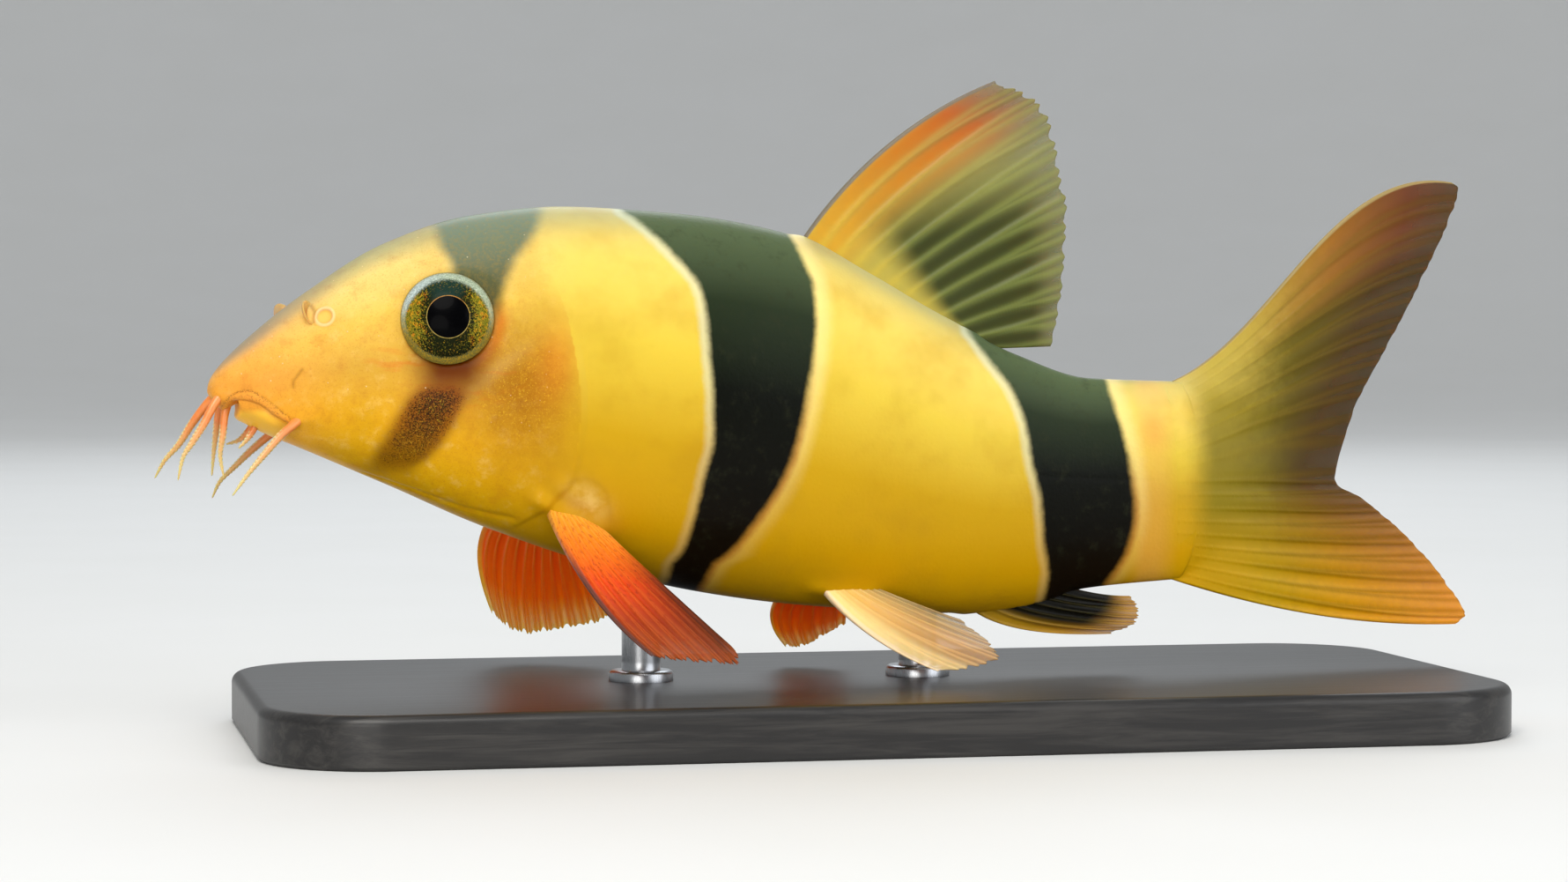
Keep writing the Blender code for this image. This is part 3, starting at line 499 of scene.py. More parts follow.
def shapeSkin(grid, normals):
    # how far each point of the skin stands out, and the numbers that its colours are read from
    mirrored = grid * (1, 0, 1) - np.abs(grid) * (0, 1, 0)
    facing = normals * (1, 0, 1) - np.abs(normals) * (0, 1, 0)
    x, y, z = np.moveaxis(mirrored, -1, 0)
    rise = np.zeros_like(x)
    edge = x - smoothCurve(relief["gillEdge"])(z)
    lift = smoothCurve(relief["gillLift"])(z)
    proud = np.where(edge < 0, np.exp(edge / relief["gillFade"]),
                     1 - softStep(edge, 0, relief["gillFall"]))
    rise += lift * proud
    groove = relief["gillGroove"] * np.minimum(1, lift / 0.2)
    rise -= groove * bell(edge - 0.6, 0.5)

    slit = sideLine(relief["slit"])
    slit[0, 1] = 0.0
    lipTop = sideLine(relief["lipTop"])
    lipTop[0, 1] = 0.0
    fromSlit, alongSlit, aboveSlit = distanceTo(mirrored, slit, facing)
    fromTop, _, aboveTop = distanceTo(mirrored, lipTop, facing)
    inLip = np.where((aboveSlit > 0) & (aboveTop < 0) & (x < 6.2) & (z > -2.6), 1.0, 0.0)
    share = fromSlit / np.maximum(fromSlit + fromTop, 1e-6)
    rise += relief["lipSwell"] * np.sin(math.pi * share) * inLip
    rise -= relief["slitDepth"] * bell(fromSlit, relief["slitWidth"])
    rise -= 0.02 * bell(fromTop, 0.12)
    atFront = 1 - softStep(alongSlit, 0.08, 0.28)
    rise -= relief["gap"] * atFront * bell(fromSlit, 0.34)
    belowSlit = np.where(aboveSlit < 0, fromSlit, 0.0)
    rise += relief["jawSwell"] * bell(belowSlit - 0.75, 0.5) * (belowSlit > 0) * (x < 6.5)

    nostril = sidePoint(*relief["nostril"])
    fromNostril = np.linalg.norm(mirrored - nostril, axis=-1)
    rise += 0.13 * bell(fromNostril - relief["nostrilRing"], 0.13)
    rise -= 0.14 * (1 - softStep(fromNostril, relief["nostrilPit"] - 0.12, relief["nostrilPit"] + 0.1))

    creases = np.zeros_like(x)
    for places, depth, width in relief["folds"]:
        distance = distanceTo(mirrored, sideLine(places))[0]
        rise -= depth * bell(distance, width)
        if width < 0.2 and depth > 0.05:
            creases = np.maximum(creases, bell(distance, width))
    for places, height, width in relief["ridges"]:
        rise += height * bell(distanceTo(mirrored, sideLine(places))[0], width)
    for place, height, width in relief["barbelFeet"]:
        rise += height * bell(np.linalg.norm(mirrored - np.array(place), axis=-1), width)
    # low ridges that the dorsal and anal fins grow from
    top, belly = bodySection(x)[:2]
    onBack = bell(z - top, 1.6) * bell(y, 0.8)
    rise += 0.22 * onBack * softStep(x, 44.5, 46.0) * (1 - softStep(x, 59.5, 61.0))
    onBelly = bell(z - belly, 1.6) * bell(y, 0.8)
    rise += 0.2 * onBelly * softStep(x, 57.5, 59.0) * (1 - softStep(x, 66.0, 67.5))

    shaped = grid + normals * rise[..., None]
    fromEye = np.full_like(x, 1e9)
    for side in (-1, 1):
        centre, out = eyePlace(side)
        away = shaped - centre
        height = away @ out
        radius = np.linalg.norm(away - height[..., None] * out, axis=-1)
        radius = np.where(np.linalg.norm(away, axis=-1) < 8, radius, 1e9)
        push = np.clip(eye["skinHeight"] - height, -0.4, 0.8) * (1 - softStep(radius, eye["socket"], 4.9))
        push -= eye["socketDepth"] * (1 - softStep(radius, eye["socket"] - 0.35, eye["socket"]))
        shaped = shaped + out * push[..., None]
        fromEye = np.minimum(fromEye, radius)
    marks = {
        "fromEye": np.minimum(fromEye, 20), "inLip": inLip * np.sin(math.pi * share) ** 0.5,
        "slit": bell(fromSlit, 0.16) * (x < 6.4), "lipEdge": bell(fromTop, 0.09) * (x < 6.2),
        "crease": creases, "fromNostril": np.minimum(fromNostril, 5), "gillEdge": np.clip(edge, -9, 9),
        "crown": softStep(normals[..., 2], 0.35, 1.0), "jaw": softStep(belowSlit, 0.0, 0.3) * (1 - softStep(x, 4.6, 6.0)) * (1 - softStep(z, -1.7, -1.2)),
    }
    return shaped, marks


# Skin: where the colours lie

pattern = {
    # black bands: height, behind, along the front and the rear edge
    "bandOne": (
        ((4.0, 19.2), (6.0, 19.0), (8.5, 18.0), (9.6, 17.8), (10.8, 17.2), (12.4, 17.0)),
        ((4.0, 20.6), (6.9, 21.5), (8.2, 22.0), (9.7, 22.7), (11.1, 23.8), (12.5, 24.7), (13.7, 25.2))),
    "bandTwo": (
        ((-13.3, 34.7), (-12.2, 35.4), (-9.6, 36.1), (-6.2, 36.8), (-3.7, 37.4), (-0.8, 37.4), (3.1, 37.2),
         (6.5, 37.0), (8.0, 36.6), (9.8, 35.3), (11.4, 33.9), (12.8, 32.5), (13.6, 31.5)),
        ((-15.2, 37.3), (-13.4, 37.9), (-12.2, 39.2), (-10.4, 40.6), (-7.9, 42.3), (-5.5, 43.5),
         (-2.8, 44.3), (0.2, 45.0), (3.1, 45.6), (6.1, 45.9), (8.0, 45.9), (9.9, 45.3), (11.8, 44.7))),
    "bandThree": (
        ((-17.2, 65.1), (-14.9, 65.1), (-12.1, 64.5), (-8.6, 64.1), (-5.9, 63.4), (-3.3, 63.0),
         (-0.3, 62.0), (2.1, 60.3), (4.3, 58.9)),
        ((-15.5, 70.2), (-12.8, 71.7), (-10.0, 72.2), (-6.1, 71.8), (-0.3, 70.4))),
    "bandOneEnd": 4.6,      # the first band stops at the eye
    # speckled patch below the eye, from top to bottom: height, behind
    "patchFront": ((-5.9, 11.4), (0.4, 14.9)),
    "patchRear": ((-5.8, 15.6), (-3.6, 17.3), (-0.5, 18.9)),
}


def bandNumbers(grid):
    # depth into the nearest band in mm, below 0 outside, and whether its rear edge is the nearer
    x, z = grid[..., 0], grid[..., 2]
    depth = np.full_like(x, -9.0)
    rear = np.zeros_like(x)
    for name in ("bandOne", "bandTwo", "bandThree"):
        edges = []
        for line, way in zip(pattern[name], (1, -1)):
            curve = smoothCurve(line)
            tilt = (curve(z + 0.3) - curve(z - 0.3)) / 0.6
            edges.append(way * (x - curve(z)) / np.sqrt(1 + tilt ** 2))
        inside = np.minimum(*edges)
        if name == "bandOne":
            inside = np.minimum(inside, (z - pattern["bandOneEnd"]) * 0.8)
        rear = np.where(inside > depth, (edges[1] < edges[0]) * 1.0, rear)
        depth = np.maximum(depth, inside)
    return depth, rear


def patchNumber(grid):
    x, z = grid[..., 0], grid[..., 2]
    front, back = smoothCurve(pattern["patchFront"])(z), smoothCurve(pattern["patchRear"])(z)
    inside = softStep(x, front - 1.2, front + 1.6) * (1 - softStep(x, back - 1.5, back + 1.0))
    return inside * softStep(z, -7.4, -4.4) * (1 - softStep(z, -0.8, 1.6))


def blot(grid, behind, height, wide, tall, turn=0.0):
    # a soft oval mark on the side
    x, z = grid[..., 0] - behind, grid[..., 2] - height
    c, s = math.cos(math.radians(turn)), math.sin(math.radians(turn))
    return np.exp(-((x * c + z * s) / wide) ** 2 - ((z * c - x * s) / tall) ** 2)


def skinNumbers(grid, marks):
    x, z = grid[..., 0], grid[..., 2]
    back, belly = bodySection(x)[:2]
    depth, rear = bandNumbers(grid)
    gill = marks["gillEdge"]
    behindEye = bell(marks["fromEye"] - 3.9, 0.6) * softStep(x, 17.8, 20.5) * (1 - softStep(z, 5.0, 7.5))
    return {
        "behind": x, "up": np.clip((z - belly) / (back - belly), 0, 1), "bandDepth": np.clip(depth, -9, 9),
        "rearEdge": rear, "patch": patchNumber(grid),
        "gillFlush": blot(grid, 22.8, 0.2, 3.6, 4.4) * (gill < 0.05),
        "gillWedge": blot(grid, 25.6, 2.4, 1.5, 3.0, -8) * (gill < 0.05),
        "behindEye": behindEye, "cheekStreak": blot(grid, 20.6, 1.3, 3.4, 0.55, 38),
        "axil": bell(distanceTo(grid * (1, 0, 1) - np.abs(grid) * (0, 1, 0),
                                sideLine(((26.0, -7.0), (27.6, -6.6), (29.3, -7.6), (29.8, -9.8))))[0], 0.2),
        "axilLobe": blot(grid, 28.0, -8.3, 1.6, 1.0, -35),
        "tailBase": softStep(x, 72.0, 73.2) * (1 - softStep(x, 74.0, 76.4)),
        "tailSpot": blot(grid, 73.9, -3.6, 0.9, 1.5, 10),
        **marks,
    }


# where the tail fin grows out of the body, from the belly to the back
tailStem = ((0.0, (184, 142, 6)), (0.14, (176, 138, 8)), (0.38, (132, 114, 12)), (0.64, (126, 110, 18)),
            (0.86, (142, 124, 30)), (1.0, (180, 158, 66)))
tailChange = (76.6, 79.8)       # how far behind, from the body's yellow to the tail's olive
skinLook = {
    # flank and head run from darker gold at the belly to paler at the back: partly the fish's own colour, partly
    # painted light from above
    "flank": ((0.0, (194, 146, 4)), (0.14, (196, 146, 4)), (0.38, (192, 150, 18)), (0.64, (213, 184, 61)),
              (0.86, (226, 196, 92)), (1.0, (196, 182, 108))),
    "head": ((0.0, (220, 168, 8)), (0.25, (216, 160, 20)), (0.5, (200, 153, 50)), (0.72, (226, 184, 80)),
             (0.9, (226, 198, 116)), (1.0, (176, 166, 110))),
    # grey on up-facing skin and on the snout's top: partly the skin's own grey, partly painted sheen of the light
    # from above
    "snout": (240, 154, 66), "snoutGreyAndSheen": (136, 136, 122), "crown": (150, 156, 130),
    # the bands turn grey-green towards the back: partly their own colour, partly painted light from above
    "band": ((0.0, (22, 13, 4)), (0.3, (8, 7, 2)), (0.55, (8, 11, 5)), (0.78, (34, 44, 26)),
             (1.0, (84, 98, 68))),
    "bandOne": ((0.6, (44, 42, 16)), (0.8, (66, 78, 54)), (1.0, (114, 132, 116))),
    "bandMottle": (44, 46, 28),
    # the cool halo on the bands' front edges: partly a pale edge, partly painted glare
    "coolHaloAndGlare": (198, 216, 204), "warmHalo": (246, 226, 156), "fringe": (150, 82, 20),
    "blotch": (170, 128, 20), "freckle": (176, 96, 30), "film": (246, 214, 140),
    "gillFlush": (156, 98, 8), "gillGold": (226, 186, 40), "orange": (214, 88, 20),
    "cream": (246, 218, 146), "brown": (96, 46, 20), "speckle": (30, 16, 6),
    "speckleCool": (104, 112, 84), "patch": (118, 54, 6), "patchLow": (118, 74, 8), "lip": (232, 150, 60),
    "jaw": (252, 196, 64), "pink": (232, 158, 112), "pore": (246, 220, 170), "eyeShade": (98, 44, 2),
    "nostrilPit": (230, 190, 74), "nostrilRing": (240, 202, 150), "roughness": 0.36,
}


def multiply(tree, *values):
    result = values[0]
    for value in values[1:]:
        result = calculate(tree, "MULTIPLY", result, value, clamp=True)
    return result


def mixNumber(tree, share, one, two):
    return calculate(tree, "MULTIPLY_ADD", share, two - one, one)


def skinMaterial(look):
    material, tree, shader = newMaterial(
        "moistSkin", **{"Subsurface Weight": 0.16, "Subsurface Scale": 1.0 * mm, "Coat Weight": 0.04,
                        "Coat Roughness": 0.2, "Specular IOR Level": 0.05})
    shader.inputs["Subsurface Radius"].default_value = (1.0, 0.45, 0.12)
    number = {name: readNumber(tree, name) for name in (
        "behind", "up", "bandDepth", "rearEdge", "patch", "gillFlush", "gillWedge", "behindEye",
        "cheekStreak", "axil", "axilLobe", "tailBase", "tailSpot", "fromEye", "inLip", "slit",
        "lipEdge", "crease", "fromNostril", "crown", "jaw")}

    def over(colour, *shares):
        nonlocal paint
        paint = mixColour(tree, multiply(tree, *shares), paint, colour)

    wide, middling, fine = grain(tree, 5.0, 3.0, 0.55), grain(tree, 1.3, 4.0, 0.65), grain(tree, 0.3, 3.0, 0.7)
    # darker towards the belly and paler towards the back, partly painted light from above
    flank, head = colourRamp(tree, number["up"], look["flank"]), colourRamp(tree, number["up"], look["head"])
    onHead = spread(tree, number["behind"], 29.0, 19.0)
    paint = mixColour(tree, onHead, flank, head)
    over(look["blotch"], spread(tree, wide, 0.42, 0.75), 0.35)
    over(look["film"], onHead, spread(tree, middling, 0.5, 0.8), 0.3)
    toSnout = spread(tree, number["behind"], 11.5, 1.5)
    over(look["snout"], toSnout, 0.6)
    over(look["freckle"], onHead, spread(tree, middling, 0.5, 0.3), 0.22)
    over(look["freckle"], onHead, dust(tree, 0.14, 0.36), 0.3)
    # greyer where the skin faces up: partly its own grey, partly painted sheen of the light from above
    over(look["crown"], spread(tree, number["crown"], 0.2, 0.9), 0.4)
    over(look["snoutGreyAndSheen"], toSnout, spread(tree, number["crown"], 0.06, 0.66), 0.7)

    # mouth
    # the jaw's underside: partly its own yellow, partly painted light bouncing up from below
    over(look["jaw"], number["jaw"], 0.8)
    over(look["lip"], number["inLip"], 0.5)
    over(look["brown"], number["inLip"], dust(tree, 0.14, 0.42), 0.4)
    over(look["brown"], number["lipEdge"], dust(tree, 0.12, 0.6), 0.6)
    # painted shade: brown along the mouth slit and in the snout's creases
    over(look["brown"], number["slit"], 0.2)
    over(look["brown"], number["crease"], 0.35)

    # nostril
    over(look["nostrilRing"], spread(tree, number["fromNostril"], 0.9, 0.76), 0.6)
    over(look["freckle"], spread(tree, number["fromNostril"], 0.64, 0.58), 0.3)
    over(look["nostrilPit"], spread(tree, number["fromNostril"], 0.6, 0.5), 0.65)

    # cheek and gill cover
    over(look["orange"], number["behindEye"], 0.6)
    clouds = spread(tree, grain(tree, 1.4, 5.0, 0.75, 0.3), 0.38, 0.62)
    over(look["gillFlush"], number["gillFlush"], 0.85)
    over(look["gillFlush"], number["gillFlush"], clouds, 0.6)
    over(look["brown"], number["gillFlush"], dust(tree, 0.22, 0.42, 0.2), 0.4)
    over(look["gillGold"], number["gillFlush"], dust(tree, 0.5, 0.4, 0.3), 0.6)
    over(look["gillGold"], number["gillFlush"], dust(tree, 0.16, 0.46, 0.2), 0.75)
    over(look["orange"], number["gillWedge"], 0.3)
    over(look["cream"], number["cheekStreak"], 0.12)
    streaks = spread(tree, grain(tree, 1.0, 3.0, 0.6, 0.0, stretched(tree, (0.35, 1.0, 1.6))), 0.5, 0.68)
    low = spread(tree, number["up"], 0.62, 0.5)
    over(look["orange"], spread(tree, number["fromEye"], 8.5, 4.5), streaks, low, 0.35)
    belowEye = multiply(tree, spread(tree, number["fromEye"], 7.4, 4.0), spread(tree, number["up"], 0.66, 0.56),
                        spread(tree, number["behind"], 13.6, 17.0), spread(tree, number["behind"], 21.8, 18.6))
    over(look["eyeShade"], belowEye)
    under = multiply(tree, number["patch"], calculate(tree, "MULTIPLY_ADD", middling, 0.8, 0.6))
    high = spread(tree, number["up"], 0.12, 0.34)
    over(mixColour(tree, high, look["patchLow"], look["patch"]), spread(tree, under, 0.0, 0.8), 0.85)
    over(look["brown"], dust(tree, 0.4, multiply(tree, under, 0.6), 0.25), spread(tree, under, 0.0, 0.3), 0.6)
    over(look["speckle"], dust(tree, 0.12, multiply(tree, under, mixNumber(tree, high, 0.66, 0.84)), 0.16),
         spread(tree, under, 0.0, 0.1), mixNumber(tree, high, 0.7, 0.95))
    over(look["gillGold"], dust(tree, 0.13, multiply(tree, under, 0.3)), under, 0.5)
    over(look["cream"], number["axilLobe"], spread(tree, middling, 0.3, 0.6, 0.3, 1.0), 0.35)
    over(look["brown"], number["axil"], 0.1)

    # pores
    sides = multiply(tree, onHead, spread(tree, number["up"], 0.28, 0.42))
    pore = multiply(tree, spots(tree, 0.7, 0.07, 0.42), sides)
    over(look["pore"], pore, 0.5)

    # tail
    over(look["pink"], number["tailBase"], 0.18)
    over(look["orange"], number["tailSpot"], 0.22)
    over(colourRamp(tree, number["up"], tailStem), spread(tree, calculate(tree, "ADD", number["behind"], middling), *tailChange))

    # bands, with a pale line along each edge; the cool line on the front edges is partly painted glare, and both
    # lines are stronger higher up
    ragged = calculate(tree, "MULTIPLY_ADD", grain(tree, 0.8, 3.0, 0.6), 0.3, -0.15)
    depth = calculate(tree, "ADD", number["bandDepth"], ragged)
    rearEdge = number["rearEdge"]
    aftOfHead = spread(tree, number["behind"], 27.0, 31.0)
    reach = calculate(tree, "MULTIPLY_ADD", rearEdge, -0.9, -0.9)
    haloColour = mixColour(tree, rearEdge, look["coolHaloAndGlare"], look["warmHalo"])
    over(haloColour, spread(tree, depth, reach, -0.3), aftOfHead, spread(tree, number["up"], 0.15, 0.75, 0.3, 1.0),
         calculate(tree, "MULTIPLY_ADD", rearEdge, 0.06, 0.4))
    over(look["fringe"], spread(tree, depth, -0.7, -0.15), rearEdge, spread(tree, number["up"], 0.75, 0.4),
         aftOfHead, 0.6)
    # bands greyer towards the back, partly painted light from above
    dark = colourRamp(tree, number["up"], look["band"])
    first = mixColour(tree, spread(tree, fine, 0.4, 0.7), colourRamp(tree, number["up"], look["bandOne"]),
                      look["blotch"])
    dark = mixColour(tree, multiply(tree, spread(tree, middling, 0.5, 0.8), 0.4), dark, look["bandMottle"])
    firstBand = mixColour(tree, 0.2, colourRamp(tree, number["up"], look["bandOne"]), first)
    over(dark, spread(tree, depth, -0.35, 0.4), spread(tree, number["behind"], 26.0, 30.0))
    over(firstBand, spread(tree, depth, -0.6, 0.7), spread(tree, number["behind"], 30.0, 26.0), 0.95)
    over(look["pore"], pore, spread(tree, depth, -1.0, 0.5), 0.5)

    bodyCells, _ = cells(tree, 0.34, 0.8)
    scaleRelief = multiply(tree, spread(tree, bodyCells, 0.2, 0.7), spread(tree, number["behind"], 24.0, 32.0))
    normal = bump(tree, scaleRelief, 0.01, 0.5)
    normal = bump(tree, fine, 0.018, 0.5, normal)
    normal = bump(tree, middling, 0.05, 0.3, normal)
    normal = bump(tree, pore, 0.05, 0.8, normal)
    tree.links.new(normal, shader.inputs["Normal"])
    tree.links.new(paint, shader.inputs["Base Color"])
    gloss = calculate(tree, "MULTIPLY_ADD", middling, 0.2, look["roughness"] - 0.1)
    tree.links.new(gloss, shader.inputs["Roughness"])
    return material


def makeSkin():
    grid = skinGrid()
    shaped, marks = shapeSkin(grid, gridNormals(grid))
    numbers = skinNumbers(grid, marks)
    rows, around = shaped.shape[:2]
    # the rounded end of the tail, under the fin's root
    last = shaped[-1]
    middle = (last[:, 2].max() + last[:, 2].min()) / 2
    caps = []
    taper = evenCurve(body["capTaper"])
    for i in range(1, body["capRows"] + 1):
        share = i / (body["capRows"] + 0.2)
        ring = last.copy()
        ring[:, 0] += body["capLength"] * share
        ring[:, 1] *= taper(share)
        ring[:, 2] = middle + (ring[:, 2] - middle) * (1 - 0.12 * share)
        caps.append(ring)
    snout = np.zeros((1, 3))
    points = np.concatenate([snout, shaped.reshape(-1, 3), np.concatenate(caps)])
    rings = rows + len(caps)
    faces = fanFaces(0, 1, around) + ringFaces(rings, around, 1)
    faces += capFaces(1 + (rings - 1) * around, around)
    full = {}
    for name, values in numbers.items():
        tail = np.tile(values[-1], len(caps))
        if name == "behind":
            tail = np.concatenate(caps)[:, 0]
        full[name] = np.concatenate([values[0, :1], values.ravel(), tail])
    piece = makePiece("fishSkin", points, faces, skinMaterial(skinLook),
                      ("head", "torso", "tail_stem"), full)
    return piece


skin = makeSkin()
print("skin made:", len(skin.data.vertices), "points")


# Nostril flaps

flap = {
    # on each side: behind, height, radius
    "left": (7.15, 5.75, 1.0), "right": (5.85, 5.25, 1.3), "sink": 0.0, "lean": 0.2, "thickness": 0.08,
    "curl": 0.35, "knob": 0.05, "colour": (226, 186, 104), "edge": (196, 124, 50), "steps": 24,
    "clear": 0.35,
}


def flapMaterial():
    material, tree, shader = newMaterial(
        "nostrilFlapSkin", **{"Subsurface Weight": 0.3, "Subsurface Scale": 0.8 * mm, "Coat Weight": 0.3,
                              "Roughness": 0.36})
    edge = spread(tree, readNumber(tree, "reach"), 0.75, 0.15)
    paint = mixColour(tree, edge, flap["colour"], flap["edge"])
    mottle = grain(tree, 0.4, 2.0)
    paint = mixColour(tree, calculate(tree, "MULTIPLY", mottle, 0.25), paint, flap["edge"])
    tree.links.new(paint, shader.inputs["Base Color"])
    tree.links.new(bump(tree, mottle, 0.03, 0.4), shader.inputs["Normal"])
    shader.inputs["Alpha"].default_value = 1 - flap["clear"]
    return material


def makeFlap(side, material):
    label = "Left" if side < 0 else "Right"
    *place, size = flap[label.lower()]
    out, foot = sideNormal(*place, side), sidePoint(*place, side)
    forward = np.array((-1.0, 0.0, 0.0)) + out * out[0]
    facing = forward / np.linalg.norm(forward) - out * flap["lean"]
    facing /= np.linalg.norm(facing)
    turned = Vector(facing).to_track_quat("Z", "Y").to_matrix()
    steps, around = flap["steps"], 2 * flap["steps"]
    centre = foot - out * flap["sink"]
    points, reach = [], []
    for way in (1, -1):
        for i in range(steps + 1):
            share = math.sin(math.pi / 2 * i / steps)
            thick = flap["thickness"] * math.sqrt(max(0.0, 1 - share ** 2)) + 0.02
            thick += flap["knob"] * bell(share - 0.86, 0.1)
            for k in range(around):
                turn = math.tau * k / around
                flat = share * size
                local = Vector((flat * math.cos(turn), flat * math.sin(turn),
                                way * thick - flap["curl"] * share ** 2))
                points.append(centre + np.array(turned @ local))
                reach.append(share)
    ring = (steps + 1) * around
    faces = ringFaces(steps + 1, around) + [face[::-1] for face in ringFaces(steps + 1, around, ring)]
    rim, far = steps * around, ring + steps * around
    faces += [(rim + k, rim + (k + 1) % around, far + (k + 1) % around, far + k) for k in range(around)]
    piece = makePiece("nostrilFlap" + label, np.array(points), faces, material, (),
                      {"reach": np.array(reach)})
    tidy(piece)
    return piece


def tidy(piece):
    # joins points that fall together and turns every face outward
    import bmesh
    edit = bmesh.new()
    edit.from_mesh(piece.data)
    bmesh.ops.remove_doubles(edit, verts=edit.verts, dist=1e-7)
    bmesh.ops.recalc_face_normals(edit, faces=edit.faces)
    edit.to_mesh(piece.data)
    edit.free()


flapSkin = flapMaterial()
for side in (-1, 1):
    makeFlap(side, flapSkin)
print("nostril flaps made")


# Eyes

eyeLook = {
    "rings": 80, "around": 192,
    "pupil": 0.447, "pupilShift": (0.02, -0.06),
    "rimStart": (0.86, 0.7),       # at the bottom, at the top
    "rimSwell": 0.03,
    "iris": (24, 28, 12), "teal": (30, 58, 52), "gold": (194, 152, 34), "leaf": (104, 114, 32),
    "orange": (206, 100, 26), "ring": (168, 146, 78), "pupilColour": (2, 2, 3),
    "rimCool": (172, 186, 156), "rimBlue": (190, 206, 206), "rimOlive": (134, 122, 48),
    "rimDark": (62, 76, 60), "rimPale": (222, 230, 220),
}


def eyeMaterial(look):
    material, tree, shader = newMaterial(
        "wetEye", **{"Roughness": 0.3, "Specular IOR Level": 0.015, "Coat Weight": 0.03, "Coat Roughness": 0.08,
                     "Coat IOR": 1.38})
    radius, up, front, pupil, rim = [
        readNumber(tree, name) for name in ("eyeRadius", "eyeUp", "eyeFront", "pupilRadius", "rim")]
    fine, coarse = grain(tree, 0.11, 3.0, 0.75), grain(tree, 0.34, 3.0, 0.6)
    # painted soft reflection: the top of the iris turns teal
    paint = mixColour(tree, multiply(tree, spread(tree, up, 0.6, 1.0), 0.6), look["iris"], look["teal"])
    sides = spread(tree, calculate(tree, "ABSOLUTE", up), 0.97, 0.45)
    gold = colourRamp(tree, coarse, ((0.3, look["orange"]), (0.42, look["gold"]), (0.56, look["leaf"]),
                                     (0.7, look["gold"])))
    outward = spread(tree, radius, 0.44, 0.74, 0.5, 1.0)
    thick = multiply(tree, calculate(tree, "MULTIPLY_ADD", sides, 0.42, 0.36), outward)
    bright = dust(tree, 0.13, thick, 0.1)
    paint = mixColour(tree, multiply(tree, bright, 0.85), paint, gold)
    paint = mixColour(tree, multiply(tree, dust(tree, 0.09, 0.4), 0.4), paint, look["iris"])
    thin = multiply(tree, spread(tree, pupil, 0.472, 0.46), spread(tree, pupil, 0.446, 0.454),
                    spread(tree, coarse, 0.3, 0.6, 0.35, 0.9))
    paint = mixColour(tree, thin, paint, mixColour(tree, spread(tree, up, 0.0, 0.8, 0.0, 0.4), look["ring"], look["orange"]))
    paint = mixColour(tree, spread(tree, pupil, 0.455, 0.443), paint, look["pupilColour"])
    # the rim runs from dark to pale and back to olive at its edge
    pale = mixColour(tree, spread(tree, up, -0.5, 0.2), look["rimOlive"], look["rimCool"])
    towardsFront = multiply(tree, spread(tree, front, -0.2, 0.8), spread(tree, up, -0.1, 0.4))
    pale = mixColour(tree, towardsFront, pale, look["rimBlue"])
    ring = mixColour(tree, spread(tree, rim, 0.05, 0.5), look["rimDark"], pale)
    ring = mixColour(tree, spread(tree, rim, 0.8, 1.0), ring, look["rimOlive"])
    ring = mixColour(tree, multiply(tree, dust(tree, 0.17, 0.8, 0.18), 0.5), ring, look["rimDark"])
    ring = mixColour(tree, multiply(tree, dust(tree, 0.14, 0.56, 0.2), spread(tree, up, -0.5, 0.4), 0.5), ring,
                     look["rimPale"])
    ring = mixColour(tree, multiply(tree, dust(tree, 0.14, 0.56, 0.1), spread(tree, up, 0.6, -0.2), 0.6), ring,
                     look["gold"])
    ragged = calculate(tree, "MULTIPLY_ADD", fine, 1.1, calculate(tree, "ADD", rim, -0.6))
    paint = mixColour(tree, multiply(tree, spread(tree, ragged, 0.0, 0.35), spread(tree, rim, 0.0, 0.12)), paint,
                      ring)
    tree.links.new(paint, shader.inputs["Base Color"])
    tree.links.new(bump(tree, fine, 0.01, 0.25), shader.inputs["Normal"])
    return material


